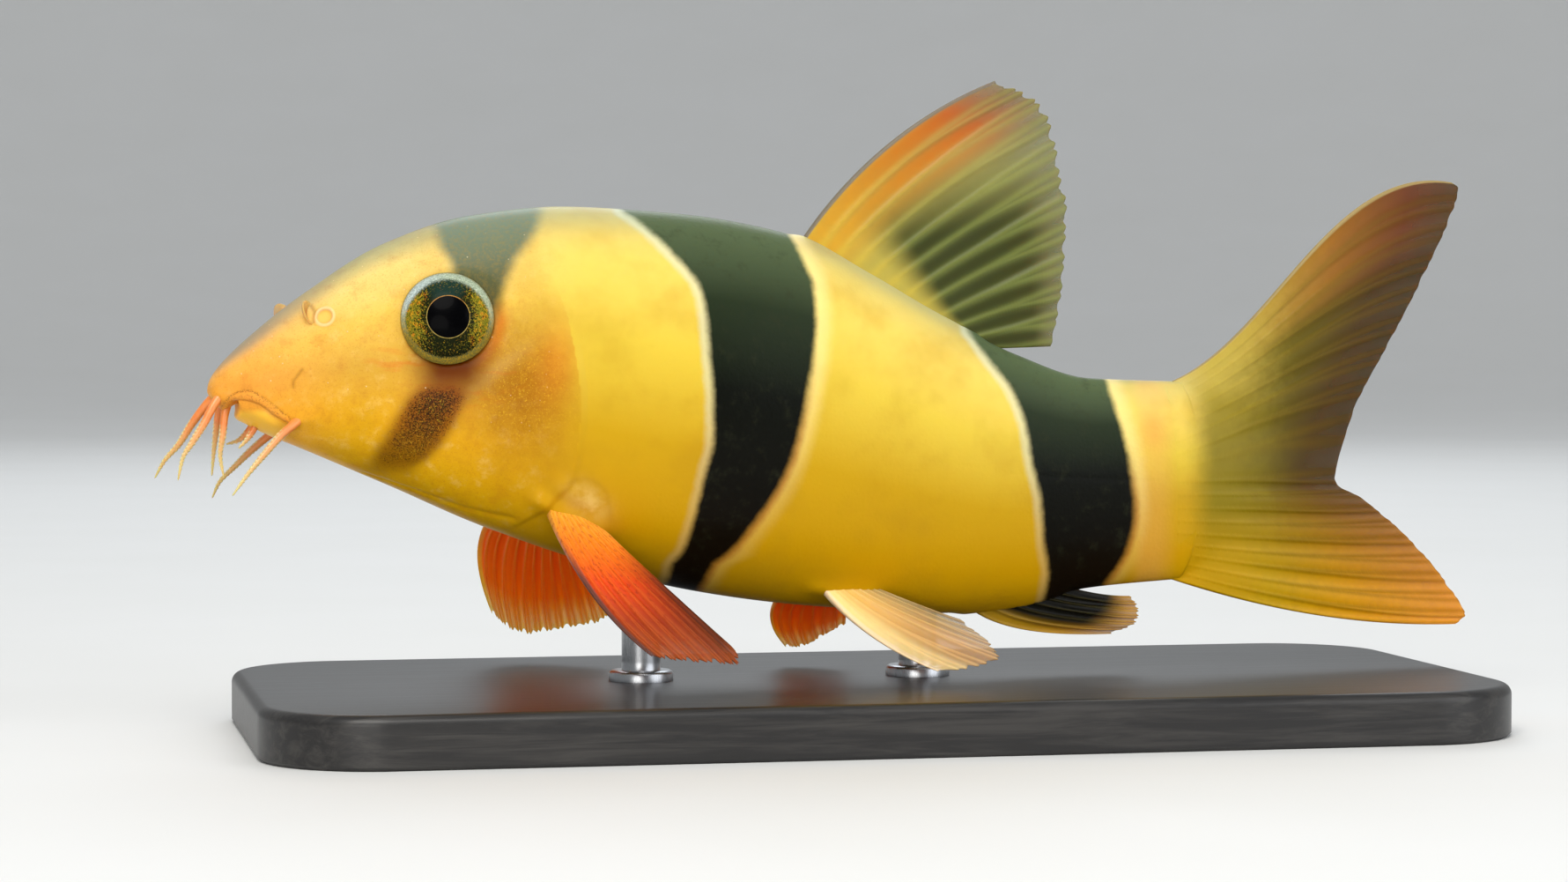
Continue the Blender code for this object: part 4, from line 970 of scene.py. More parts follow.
def makeEye(side, material, look):
    centre, facing = eyePlace(side)
    tailward = np.array((1.0, 0.0, 0.0)) - facing * facing[0]
    tailward /= np.linalg.norm(tailward)
    upward = np.cross(facing, tailward) * -side
    upward *= math.copysign(1, upward[2])
    share = np.sin(np.linspace(0, math.pi / 2, look["rings"] + 1))[1:, None]
    turn = math.tau * np.arange(look["around"])[None, :] / look["around"]
    right, up = share * np.cos(turn), share * np.sin(turn)
    lowRim, highRim = look["rimStart"]
    rimStart = lowRim + (highRim - lowRim) * softStep(np.sin(turn), -0.2, 0.9)
    rim = np.clip((share - rimStart) / (1 - rimStart), 0, 1)
    depth = eye["rimHeight"] + (eye["depth"] - eye["rimHeight"]) * np.maximum(0, 1 - share ** 2) ** 0.62
    depth = depth + look["rimSwell"] * np.sin(math.pi * rim)
    points = (centre + tailward * right[..., None] * eye["radius"] + upward * up[..., None] * eye["radius"]
              + facing * depth[..., None])
    rows, around = points.shape[:2]
    backRing = points[-1] - facing * 0.8 - (points[-1] - centre) * 0.25
    top = centre + facing * eye["depth"]
    bottom = centre - facing * 1.2
    allPoints = np.concatenate([[top], points.reshape(-1, 3), backRing, [bottom]])
    flip = side > 0
    faces = fanFaces(0, 1, around) + ringFaces(rows + 1, around, 1)
    faces += fanFaces(len(allPoints) - 1, 1 + rows * around, around, True)
    shiftX, shiftY = look["pupilShift"]
    numbers = {
        "eyeRadius": share + 0 * turn, "eyeUp": np.sin(turn) + 0 * share, "eyeFront": -np.cos(turn) + 0 * share,
        "pupilRadius": np.hypot(right - shiftX, up - shiftY), "rim": rim + 0 * turn,
    }
    full = {}
    for name, values in numbers.items():
        values = np.broadcast_to(values, (rows, around))
        first = 0.0 if name in ("rim", "pupilRadius", "eyeRadius") else 0.0
        full[name] = np.concatenate([[first], values.ravel(), values[-1], [0.0]])
    label = "left" if side < 0 else "right"
    piece = makePiece("eye" + label.capitalize(), allPoints, faces, material, ("eye_" + label,), full)
    tidy(piece)
    return piece


wetEye = eyeMaterial(eyeLook)
for side in (-1, 1):
    makeEye(side, wetEye, eyeLook)
print("eyes made")


# Fins

finMake = {
    "perRay": 12,           # columns of points from one ray to the next
    "edge": 0.14,           # thickness of the membrane at its margin, in mm
    "ridge": 0.15,          # height of a ray on each face at its root
    "taper": 0.55,
    "notch": 0.022,         # share of the length by which the membrane falls short of the rays
    "uneven": 0.012,
    "sink": 1.0,
}


def finSheet(name, fin, material):
    columns, rows = (fin["rays"] - 1) * finMake["perRay"] + 1, fin["rows"]
    share = np.linspace(0, 1, columns)
    rootLine, tipLine = smoothRoute(fin["root"]), smoothRoute(fin["tip"])
    near = smoothRoute([(place, inner) for place, inner, outer in fin["bow"]])
    far = smoothRoute([(place, outer) for place, inner, outer in fin["bow"]])
    a, d = rootLine(share)[:, None], tipLine(share)[:, None]
    b = a + (d - a) / 3 + near(share)[:, None]
    c = a + (d - a) * 2 / 3 + far(share)[:, None]
    if "fleshy" in fin:
        # the bend sideways starts softly
        b[..., 1] = a[..., 1]
        c[..., 1] = a[..., 1] + (d[..., 1] - a[..., 1]) / 3
    place = share * (fin["rays"] - 1)
    fromRay = np.abs(place - np.round(place))[:, None]
    t = np.linspace(0, 1, rows + 1)[None, :]
    # each ray forks, apart from the first one
    fork = 0.2 * softStep(t, fin["fork"], 1.0) * np.where(place > 0.5, 1.0, 0.0)[:, None]
    ray = bell(fromRay - fork, 0.15 - 0.05 * t)
    atTip = bell(fromRay[:, 0] - 0.17 * (place > 0.5), 0.16)
    uneven = random.uniform(0, finMake["uneven"], fin["rays"])[np.round(place).astype(int)]
    short = finMake["notch"] * (1 - atTip) + np.where(place > 0.5, uneven, 0.0)
    t = t * (1 - short[:, None] * fin.get("notchDepth", 1.0))
    s = 1 - t
    t3, s3 = t[..., None], s[..., None]
    middle = a * s3 ** 3 + b * 3 * s3 ** 2 * t3 + c * 3 * s3 * t3 ** 2 + d * t3 ** 3
    normal = np.cross(np.gradient(middle, axis=0), np.gradient(middle, axis=1))
    normal /= np.linalg.norm(normal, axis=-1, keepdims=True)
    mean = normal.sum(axis=(0, 1))
    mean /= np.linalg.norm(mean)
    wave = fin["wave"] * np.sin(math.tau * (fin["waves"] * share[:, None] + 0.35 * t)) * softStep(t, 0.15, 1)
    billow = 0.1 * (1 - ray) * np.sin(math.pi * place)[:, None] * softStep(t, 0.1, 0.6)
    middle = middle + mean * (wave + billow)[..., None]
    thickness = evenCurve(fin["thick"])(share)[:, None]
    half = (finMake["edge"] + (thickness - finMake["edge"]) * s ** fin["fall"]) / 2
    if "fleshy" in fin:
        half = ((half * (0.3 + 0.7 * softStep(t, 0.0, 0.2))) ** 6 + stemForm(middle) ** 6) ** (1 / 6)
    ridge = finMake["ridge"] * fin.get("ridge", 1.0) * (1 - finMake["taper"] * t)
    ridge = ridge * softStep(t, 0.05, fin.get("ridgeStart", 0.2))
    half = half + ridge * ray
    half = half * np.sqrt(np.clip((1.004 - t / t[:, -1:]) / 0.03, 0.02, 1))
    half = half * np.sqrt(np.clip(np.minimum(share, 1 - share)[:, None] * (fin["rays"] - 1) * 6 + 0.15, 0, 1))
    points = np.concatenate([(middle + normal * half[..., None]).reshape(-1, 3),
                             (middle - normal * half[..., None]).reshape(-1, 3)])
    numbers = {"along": t + 0 * share[:, None], "across": share[:, None] + 0 * t, "ray": ray + 0 * t}
    back, belly = bodySection(np.array(body["length"]))[:2]
    if "fleshy" in fin:
        numbers["behind"] = middle[..., 0]
    numbers["up"] = np.clip((middle[..., 2] - belly) / (back - belly), 0, 1)
    numbers["patch"] = fin["patch"](numbers["across"], numbers["along"])
    numbers = {label: np.tile(values.ravel(), 2) for label, values in numbers.items()}
    return makePiece(name, points, sheetFaces(columns, rows + 1), material, fin["nodes"],
                     numbers)


def finMaterial(name, look):
    material, tree, shader = newMaterial(
        name, **{"Roughness": 0.36, "Coat Weight": 0.04, "Coat Roughness": 0.2,
                 "Specular IOR Level": 0.12})
    weight, reach = look.get("glow", (0.2, 1.0))
    shader.inputs["Subsurface Weight"].default_value = weight
    shader.inputs["Subsurface Scale"].default_value = reach * mm
    shader.inputs["Subsurface Radius"].default_value = (1.0, 0.45, 0.12)
    along, across, thinRay, patch, up = [
        readNumber(tree, label) for label in ("along", "across", "ray", "patch", "up")]
    ray = calculate(tree, "POWER", thinRay, look.get("rayPower", 0.8))
    paint = colourRamp(tree, along, look["membrane"])
    if "leading" in look:
        paint = mixColour(tree, spread(tree, across, look["leadingEnd"], look["leadingEnd"] * 0.35),
                          paint, colourRamp(tree, along, look["leading"]))
    if "trailing" in look:
        paint = mixColour(tree, spread(tree, across, look["trailingStart"], 1.0), paint,
                          colourRamp(tree, along, look["trailing"]))
    rays = colourRamp(tree, along, look["rays"])
    mottle = grain(tree, 0.8, 3.0, 0.6)
    paint = mixColour(tree, calculate(tree, "MULTIPLY", ray, look["rayStrength"]), paint, rays)
    paint = mixColour(tree, calculate(tree, "MULTIPLY", mottle, 0.3), paint, look["mottle"])
    if "flecks" in look:
        # rows of fine flecks beside the rays
        rows = tree.nodes.new("ShaderNodeCombineXYZ")
        tree.links.new(calculate(tree, "MULTIPLY", across, look["flecks"][0]), rows.inputs["X"])
        tree.links.new(calculate(tree, "MULTIPLY", along, look["flecks"][1]), rows.inputs["Y"])
        fleck = spread(tree, grain(tree, 1.0, 2.0, 0.6, 0.0, rows.outputs[0]), 0.54, 0.64)
        paint = mixColour(tree, multiply(tree, fleck, 0.5), paint, look["fleck"])
    dark = mixColour(tree, calculate(tree, "MULTIPLY", ray, look["patchRays"]), look["patch"],
                     look["patchRay"])
    paint = mixColour(tree, patch, paint, dark)
    if "stem" in look:
        # the tail's own yellow runs into the fin
        behind = readNumber(tree, "behind")
        flesh = mixColour(tree, multiply(tree, spread(tree, grain(tree, 5.0, 3.0, 0.55), 0.42, 0.75), 0.35),
                          colourRamp(tree, up, skinLook["flank"]), skinLook["blotch"])
        change = spread(tree, calculate(tree, "ADD", behind, grain(tree, 1.3, 4.0, 0.65)), *tailChange)
        flesh = mixColour(tree, change, flesh, colourRamp(tree, up, look["stem"]))
        fade = spread(tree, calculate(tree, "MULTIPLY_ADD", mottle, 3.0, behind), 88.0, 79.5)
        paint = mixColour(tree, fade, paint, flesh)
    if "edge" in look:
        edge = spread(tree, across, look["edgeWidth"], look["edgeWidth"] * 0.6)
        edgeStart = look.get("edgeStart", -0.4)
        paint = mixColour(tree, multiply(tree, edge, spread(tree, along, edgeStart, edgeStart + 0.4)), paint,
                          look["edge"])
    # joints along each ray
    joints = tree.nodes.new("ShaderNodeTexWave")
    joints.wave_profile = "SAW"
    joints.inputs["Scale"].default_value = look.get("joints", 12.0)
    joints.inputs["Distortion"].default_value = 0.0
    step = tree.nodes.new("ShaderNodeCombineXYZ")
    tree.links.new(along, step.inputs["X"])
    tree.links.new(step.outputs[0], joints.inputs["Vector"])
    seam = calculate(tree, "MULTIPLY", joints.outputs["Fac"], ray)
    normal = bump(tree, seam, 0.05, 0.5)
    normal = bump(tree, mottle, 0.03, 0.4, normal)
    tree.links.new(normal, shader.inputs["Normal"])
    tree.links.new(paint, shader.inputs["Base Color"])
    thin = calculate(tree, "MULTIPLY", spread(tree, along, look["clearStart"], 1.0),
                     calculate(tree, "SUBTRACT", 1.0, calculate(tree, "MULTIPLY", ray, 0.75)))
    thin = calculate(tree, "MULTIPLY", thin, calculate(tree, "SUBTRACT", 1.0,
                                                       calculate(tree, "MULTIPLY", patch, 0.6)))
    clear = calculate(tree, "MULTIPLY_ADD", thin, look["clearTip"] - look["clearRoot"], look["clearRoot"])
    tree.links.new(calculate(tree, "SUBTRACT", 1.0, clear, clamp=True), shader.inputs["Alpha"])
    return material


def profileRoot(base, line, sink):
    # a fin's root along the back or belly, inside the body
    places = np.linspace(base[0], base[1], 5)
    heights = line(np.sqrt(places / body["length"])) + sink
    return [(k / 4, (places[k], 0.0, heights[k])) for k in range(5)]


def sideRoot(front, rear, side):
    stops = []
    for share in (0.0, 0.5, 1.0):
        place = np.array(front) * (1 - share) + np.array(rear) * share
        stops.append((share, sidePoint(*place, side) - sideNormal(*place, side) * finMake["sink"]))
    return stops


def swayed(stops, sway=1.2, length=26.0):
    # the tail fin bends sideways towards its tips
    line = []
    for share, (x, z) in stops:
        line.append((share, (x, sway * (max(0.0, x - body["length"]) / length) ** 2, z)))
    return line


def noPatch(across, along):
    return 0 * along


dorsalFin = {
    "nodes": ("dorsal_fin",), "slot": "olive_fins", "rays": 12, "rows": 84, "fork": 0.45,
    "thick": (0.8, 1.2, 0.7), "fall": 1.8, "wave": 0.35, "waves": 1.2,
    "root": profileRoot((45.3, 59.9), backLine, -finMake["sink"]),
    "tip": ((0.0, (61.2, 0, 24.0)), (0.1, (63.6, 0, 23.35)), (0.2, (65.2, 0, 22.3)), (0.35, (66.4, 0, 19.2)),
            (0.6, (67.2, 0, 13.2)), (0.8, (66.8, 0, 8.0)), (1.0, (66.0, 0, 3.2))),
    "bow": ((0.0, (-1.3, 0, 1.7), (-1.1, 0, 1.9)), (0.4, (-0.4, 0, 0.8), (0, 0, 0.6)),
            (1.0, (0, 0, 0), (0, 0, 0))),
    "patch": lambda across, along: (
        softStep(across, 0.02 + 0.24 * along, 0.3 + 0.36 * along)
        * softStep(along, 0.14 - 0.12 * across, 0.34 - 0.2 * across) * (1 - 0.7 * softStep(along, 0.72, 1.02))),
}
dorsalLook = {
    "membrane": ((0.0, (184, 164, 66)), (0.3, (156, 148, 74)), (0.7, (144, 144, 84)), (1.0, (110, 116, 78))),
    "leading": ((0.0, (206, 158, 40)), (0.4, (190, 120, 24)), (0.75, (180, 84, 20)), (1.0, (104, 98, 52))),
    "leadingEnd": 0.34,
    "rays": ((0.0, (210, 180, 60)), (0.6, (164, 160, 84)), (1.0, (140, 146, 96))), "rayStrength": 0.5,
    "mottle": (140, 126, 60), "patch": (52, 56, 20), "patchRay": (108, 116, 58), "patchRays": 0.85,
    "rayPower": 0.45, "edge": (120, 112, 96), "edgeWidth": 0.018, "clearStart": 0.6, "clearTip": 0.5,
    "clearRoot": 0.03,
}

analFin = {
    "nodes": ("anal_fin",), "slot": "olive_fins", "rays": 7, "rows": 60, "fork": 0.5,
    "thick": (0.7, 1.1, 0.7), "fall": 1.8, "wave": 0.2, "waves": 1.0,
    "root": profileRoot((58.6, 66.3), bellyLine, finMake["sink"]),
    "tip": ((0.0, (71.0, 0, -19.6)), (0.35, (73.0, 0, -18.7)), (0.7, (73.3, 0, -17.6)),
            (1.0, (72.6, 0, -16.6))),
    "bow": ((0.0, (-2.0, 0, -1.6), (-0.8, 0, -1.1)), (0.5, (-0.6, 0, -0.6), (-0.2, 0, -0.5)),
            (1.0, (0, 0, -0.3), (0, 0, -0.4))),
    "patch": lambda across, along: (
        softStep(across, 0.08, 0.3) * softStep(along, 0.0, 0.15) * (1 - softStep(along, 0.66, 0.95))),
}
analLook = {
    "membrane": ((0.0, (176, 140, 20)), (0.5, (150, 116, 14)), (1.0, (170, 124, 40))),
    "rays": ((0.0, (190, 156, 46)), (1.0, (186, 140, 56))), "rayStrength": 0.5,
    "mottle": (170, 110, 30), "patch": (10, 9, 4), "patchRay": (54, 48, 16), "patchRays": 0.5,
    "clearStart": 0.6, "clearTip": 0.4, "clearRoot": 0.03,
}

tailFin = {
    "nodes": ("tail_fin_upper", "tail_fin_lower"), "slot": "olive_fins", "rays": 19, "rows": 96, "fork": 0.35,
    "thick": (0.9, 1.6, 1.8, 1.6, 0.9), "fall": 2.2, "fleshy": True, "wave": 0.3, "waves": 1.6, "ridge": 0.4,
    "notchDepth": 0.18, "ridgeStart": 0.45,
    "root": swayed(((0.0, (74.6, 0.0)), (0.25, (75.0, -3.2)), (0.5, (75.4, -7.5)), (0.75, (75.0, -11.9)),
                    (1.0, (74.6, -14.9)))),
    "tip": swayed(((0.0, (99.6, 16.35)), (0.02, (100.3, 15.9)), (0.05, (100.1, 14.9)), (0.15, (98.3, 10.6)), (0.3, (94.7, 3.9)),
                   (0.425, (91.3, -2.0)), (0.5, (89.6, -7.4)), (0.575, (92.0, -9.1)), (0.7, (95.6, -11.9)),
                   (0.85, (99.6, -16.0)), (0.95, (101.3, -18.7)), (1.0, (100.4, -19.4)))),
    "bow": ((0.0, (1.0, 0, -3.0), (-2.6, 0, 7.2)), (0.15, (0.3, 0, -1.2), (-1.0, 0, 2.6)),
            (0.5, (0, 0, 0), (0, 0, 0)), (0.8, (0, 0, -0.5), (0, 0, -0.6)),
            (1.0, (-0.2, 0, -1.4), (-0.2, 0, -1.6))),
    "patch": noPatch,
}
tailLook = {
    "stem": tailStem, "glow": (0.16, 1.0),
    "membrane": ((0.0, (136, 118, 16)), (0.3, (116, 98, 10)), (0.5, (94, 82, 8)), (0.8, (60, 42, 6)),
                 (1.0, (40, 34, 12))),
    "leading": ((0.0, (190, 168, 76)), (0.3, (172, 142, 54)), (0.6, (146, 96, 32)), (0.85, (96, 44, 12)),
                (1.0, (64, 50, 26))),
    "leadingEnd": 0.2,
    "trailing": ((0.0, (184, 148, 14)), (0.35, (190, 152, 8)), (0.65, (214, 150, 4)), (1.0, (232, 146, 14))),
    "trailingStart": 0.45,
    "rays": ((0.0, (206, 172, 50)), (0.4, (124, 102, 20)), (1.0, (82, 58, 18))), "rayStrength": 0.4,
    "mottle": (84, 66, 10), "patch": (80, 80, 40), "patchRay": (80, 80, 40), "patchRays": 0.0,
    "edge": (150, 132, 84), "edgeWidth": 0.008, "clearStart": 0.5, "clearTip": 0.2, "clearRoot": 0.0,
}

pectoralLeft = {
    "nodes": ("pectoral_fin_left",), "slot": "red_fins", "rays": 14, "rows": 84, "fork": 0.4,
    "thick": (0.9, 1.1, 0.6), "fall": 1.6, "wave": 0.2, "waves": 1.0, "ridge": 0.7,
    "root": sideRoot((24.6, -8.6), (28.4, -10.6), -1),
    "tip": ((0.0, (31.2, -16.0, -19.1)), (0.3, (34.2, -17.0, -19.8)), (0.55, (37.0, -17.4, -20.0)),
            (0.72, (37.6, -16.2, -19.2)), (0.88, (36.75, -13.3, -18.1)), (1.0, (35.8, -10.9, -17.2))),
    "bow": ((0.0, (-1.3, 0.2, -0.6), (-1.3, 0.2, -0.8)), (0.5, (-0.2, 0, 0), (-0.2, 0, 0.2)),
            (1.0, (-0.4, 0, 0.3), (-0.6, 0, 0.2))),
    # the dark patch over the fin's rear is partly painted shade where the fin bends away
    "patch": lambda across, along: (
        softStep(across, 0.24, 0.84) * softStep(along, 0.2, 0.6) * (1 - 0.7 * softStep(along, 0.88, 1.0))),
}
pectoralLeftLook = {
    # darker brown towards the rear and tip, partly painted shade where the fin bends away
    "membrane": ((0.0, (240, 176, 52)), (0.25, (236, 128, 24)), (0.5, (216, 66, 14)), (0.75, (140, 46, 16)),
                 (1.0, (146, 76, 26))),
    "rays": ((0.0, (250, 206, 100)), (0.4, (236, 120, 40)), (1.0, (196, 96, 50))), "rayStrength": 0.35,
    "flecks": (44.0, 30.0), "fleck": (150, 44, 10),
    "mottle": (180, 60, 12), "patch": (58, 27, 14), "patchRay": (98, 44, 22), "patchRays": 0.6,
    "edge": (100, 60, 50), "edgeWidth": 0.06, "edgeStart": 0.15, "clearStart": 0.75, "clearTip": 0.3,
    "clearRoot": 0.02,
}

pectoralRight = {
    "nodes": ("pectoral_fin_right",), "slot": "red_fins", "rays": 14, "rows": 84, "fork": 0.4,
    "thick": (0.9, 1.1, 0.6), "fall": 1.6, "wave": 0.3, "waves": 1.2,
    "root": sideRoot((24.6, -8.6), (28.4, -10.6), 1),
    "tip": ((0.0, (23.9, 18.0, -18.8)), (0.2, (25.4, 18.5, -19.7)), (0.4, (27.3, 18.5, -20.2)),
            (0.6, (29.3, 17.5, -20.1)), (0.8, (31.7, 16.0, -19.7)), (1.0, (33.4, 14.2, -18.3))),
    "bow": ((0.0, (-3.2, 0, 1.9), (-3.0, 0, 1.7)), (0.5, (-0.8, 0, 1.0), (-0.8, 0, 0.8)),
            (1.0, (0, 0, 0), (0, 0, 0.3))),
    "patch": noPatch,
}
farFinLook = {
    "membrane": ((0.0, (255, 160, 34)), (0.4, (255, 112, 14)), (0.75, (255, 92, 6)), (1.0, (255, 160, 44))),
    "rays": ((0.0, (255, 180, 60)), (1.0, (250, 130, 40))), "rayStrength": 0.4,
    "mottle": (236, 84, 6), "patch": (150, 40, 10), "patchRay": (200, 80, 30), "patchRays": 0.3,
    "glow": (0.8, 3.0),
    "edge": (236, 150, 70), "edgeWidth": 0.05, "clearStart": 0.7, "clearTip": 0.3, "clearRoot": 0.02,
}

pelvicLeft = {
    "nodes": ("pelvic_fin_left",), "slot": "red_fins", "rays": 8, "rows": 60, "fork": 0.45,
    "thick": (0.7, 1.0, 0.6), "fall": 1.6, "wave": 0.2, "waves": 1.0, "ridge": 0.6,
    "root": sideRoot((46.3, -15.6), (50.0, -15.9), -1),
    "tip": ((0.0, (54.2, -10.0, -21.2)), (0.2, (56.8, -10.1, -21.2)), (0.45, (59.2, -9.5, -20.5)),
            (0.7, (58.8, -8.5, -19.4)), (1.0, (57.0, -6.8, -17.6))),
    "bow": ((0.0, (-1.2, 0, -0.5), (-1.2, 0, -0.5)), (1.0, (0, 0, 0), (0, 0, 0))),
    "patch": noPatch,
}
pelvicLeftLook = {
    "membrane": ((0.0, (232, 192, 96)), (0.35, (214, 168, 96)), (0.8, (184, 140, 90)), (1.0, (172, 138, 100))),
    "rays": ((0.0, (240, 208, 122)), (1.0, (224, 180, 126))), "rayStrength": 0.4,
    "leading": ((0.0, (240, 220, 140)), (1.0, (238, 206, 142))), "leadingEnd": 0.3,
    "mottle": (216, 156, 84), "patch": (150, 120, 100), "patchRay": (200, 150, 120), "patchRays": 0.3,
    "trailing": ((0.0, (146, 130, 82)), (1.0, (126, 118, 90))), "trailingStart": 0.3,
    "edge": (246, 214, 170), "edgeWidth": 0.07, "clearStart": 0.3, "clearTip": 0.55, "clearRoot": 0.04,
}

pelvicRight = {
    "nodes": ("pelvic_fin_right",), "slot": "red_fins", "rays": 8, "rows": 60, "fork": 0.45,
    "thick": (0.7, 1.0, 0.6), "fall": 1.6, "wave": 0.2, "waves": 1.0,
    "root": sideRoot((46.3, -15.6), (50.0, -15.9), 1),
    "tip": ((0.0, (46.7, 10.0, -21.2)), (0.3, (47.8, 10.2, -21.0)), (0.6, (49.3, 10.0, -20.4)),
            (1.0, (51.4, 9.0, -19.4))),
    "bow": ((0.0, (-2.6, 0, 0.3), (-2.4, 0, 0.2)), (1.0, (0, 0, 0), (0, 0, 0))),
    "patch": noPatch,
}

finSheet("dorsalFin", dorsalFin, finMaterial("dorsalMembrane", dorsalLook))
finSheet("analFin", analFin, finMaterial("analMembrane", analLook))
finSheet("tailFin", tailFin, finMaterial("tailMembrane", tailLook))
finSheet("pectoralFinLeft", pectoralLeft, finMaterial("pectoralLeftMembrane", pectoralLeftLook))
farMembrane = finMaterial("farMembrane", farFinLook)
finSheet("pectoralFinRight", pectoralRight, farMembrane)
finSheet("pelvicFinLeft", pelvicLeft, finMaterial("pelvicLeftMembrane", pelvicLeftLook))
finSheet("pelvicFinRight", pelvicRight, farMembrane)
print("fins made")


# Barbels

barbel = {
    "around": 28, "steps": 170, "tip": 0.06, "taper": (0.8, 0.74, 0.6, 0.36),
    "toothSpacing": 0.33, "tooth": 0.055, "footSwell": 0.12,
    "core": (238, 148, 66), "deep": (216, 126, 60), "soft": (198, 162, 98), "pale": (214, 208, 156),
    "leaf": (186, 188, 114),
}
barbelPaths = {
    "barbel_rostral_outer_left": (0.45, (
        (1.9, -1.0, 0.5), (0.55, -1.75, -0.75), (-0.4, -2.2, -2.4), (-1.3, -2.6, -3.8), (-2.0, -2.9, -4.9),
        (-2.4, -3.2, -6.6))),
    "barbel_rostral_outer_right": (0.45, (
        (1.8, 1.0, 0.5), (0.3, 1.7, -0.8), (-1.0, 2.3, -2.5), (-2.0, 2.7, -4.1), (-3.1, 3.0, -5.4),
        (-3.8, 3.3, -6.7))),
    "barbel_rostral_inner_left": (0.42, (
        (1.5, -0.75, -0.6), (1.2, -0.95, -1.9), (1.05, -1.2, -3.3), (0.85, -1.4, -4.8), (1.1, -1.6, -6.5))),
    "barbel_rostral_inner_right": (0.42, (
        (1.3, 0.75, -0.6), (0.9, 0.95, -1.8), (0.75, 1.2, -2.8), (0.55, 1.4, -4.5), (0.4, 1.6, -6.5))),
    "barbel_maxillary_left": (0.45, (
        (7.2, -2.9, -1.6), (6.2, -3.9, -2.4), (5.2, -4.5, -3.2), (3.7, -5.2, -4.8), (2.5, -5.7, -6.2),
        (1.4, -6.2, -7.65))),
    "barbel_maxillary_right": (0.45, (
        (7.2, 2.9, -1.6), (6.2, 3.7, -2.6), (5.1, 4.2, -3.4), (3.7, 4.7, -4.6), (2.4, 5.2, -5.9),
        (1.2, 5.7, -7.2), (0.7, 6.2, -8.4))),
    "barbel_mandibular_left": (0.36, (
        (3.9, -1.0, -1.7), (3.3, -1.2, -3.0), (2.8, -1.4, -3.7), (2.2, -1.6, -4.3))),
    "barbel_mandibular_right": (0.36, (
        (3.9, 1.0, -1.7), (3.2, 1.2, -3.0), (2.4, 1.5, -3.8), (1.5, 1.8, -4.1))),
}


def barbelMaterial():
    material, tree, shader = newMaterial(
        "barbelSkin", **{"Roughness": 0.36, "Coat Weight": 0.3, "Coat Roughness": 0.2,
                         "Subsurface Weight": 0.3, "Subsurface Scale": 0.6 * mm})
    along, tooth = readNumber(tree, "along"), readNumber(tree, "tooth")
    paint = colourRamp(tree, along, ((0.0, barbel["core"]), (0.35, barbel["deep"]), (0.65, barbel["soft"]),
                                     (1.0, barbel["leaf"])))
    mottle = grain(tree, 0.35, 3.0, 0.6)
    paint = mixColour(tree, calculate(tree, "MULTIPLY", mottle, 0.35), paint, barbel["core"])
    share = calculate(tree, "MULTIPLY", spread(tree, tooth, 0.25, 0.8), spread(tree, along, 0.0, 0.3, 0.5, 0.9))
    paint = mixColour(tree, share, paint, barbel["pale"])
    tree.links.new(paint, shader.inputs["Base Color"])
    tree.links.new(bump(tree, mottle, 0.03, 0.5), shader.inputs["Normal"])
    return material


def makeBarbel(node, radius, path, material):
    steps, around = barbel["steps"], barbel["around"]
    line = evenRoute(path)
    size = evenCurve([radius * share for share in barbel["taper"]] + [barbel["tip"]])
    t = np.linspace(0, 1, steps + 1)
    middle = line(t)
    ahead = np.gradient(middle, axis=0)
    length = np.concatenate([[0], np.cumsum(np.linalg.norm(np.diff(middle, axis=0), axis=1))])
    ahead /= np.linalg.norm(ahead, axis=1, keepdims=True)
    across = np.array((0.0, 1.0, 0.0)) - ahead * ahead[:, 1:2]
    across /= np.linalg.norm(across, axis=1, keepdims=True)
    up = np.cross(ahead, across)
    turn = math.tau * np.arange(around) / around
    # soft teeth in two staggered rows down the barbel, none near its root or tip
    wander = 0.9 * np.sin(length * 2.3 + random.uniform(0, 6)) + 0.5 * np.sin(length * 5.1)
    beat = math.tau * length[:, None] / barbel["toothSpacing"] + wander[:, None]
    row = np.abs(np.sin(turn))[None, :] ** 2
    stagger = np.where(np.sin(turn) > 0, 0.0, math.pi)[None, :]
    tooth = (0.5 + 0.5 * np.sin(beat + stagger + random.uniform(0, 6))) ** 1.5 * row
    tooth = tooth * softStep(t, 0.28, 0.5)[:, None] * (1 - softStep(t, 0.86, 0.97))[:, None]
    swell = 1 + barbel["footSwell"] * (1 - softStep(t, 0.05, 0.3))
    end = np.sqrt(np.clip((1.0 - t) / 0.02, 0.05, 1))
    reach = (size(t) * swell * end)[:, None] + barbel["tooth"] * tooth
    ring = (middle[:, None] + across[:, None] * (reach * np.cos(turn))[..., None]
            + up[:, None] * (reach * np.sin(turn))[..., None])
    points = np.concatenate([middle[:1], ring.reshape(-1, 3), middle[-1:]])
    faces = fanFaces(0, 1, around, True) + [face[::-1] for face in ringFaces(steps + 1, around, 1)]
    faces += fanFaces(len(points) - 1, 1 + steps * around, around)
    along = np.concatenate([[0.0], np.repeat(t, around), [1.0]])
    teeth = np.concatenate([[0.0], (row * softStep(t, 0.1, 0.5)[:, None] * 0.6 + tooth * 0.6).ravel(), [0.0]])
    parts = node.split("_")
    name = parts[0] + "".join(part.capitalize() for part in parts[1:])
    piece = makePiece(name, points, faces, material, (node,), {"along": along, "tooth": teeth})
    tidy(piece)
    return piece


barbelSkin = barbelMaterial()
for node, (radius, path) in barbelPaths.items():
    makeBarbel(node, radius, path, barbelSkin)
print("barbels made")


# Stand

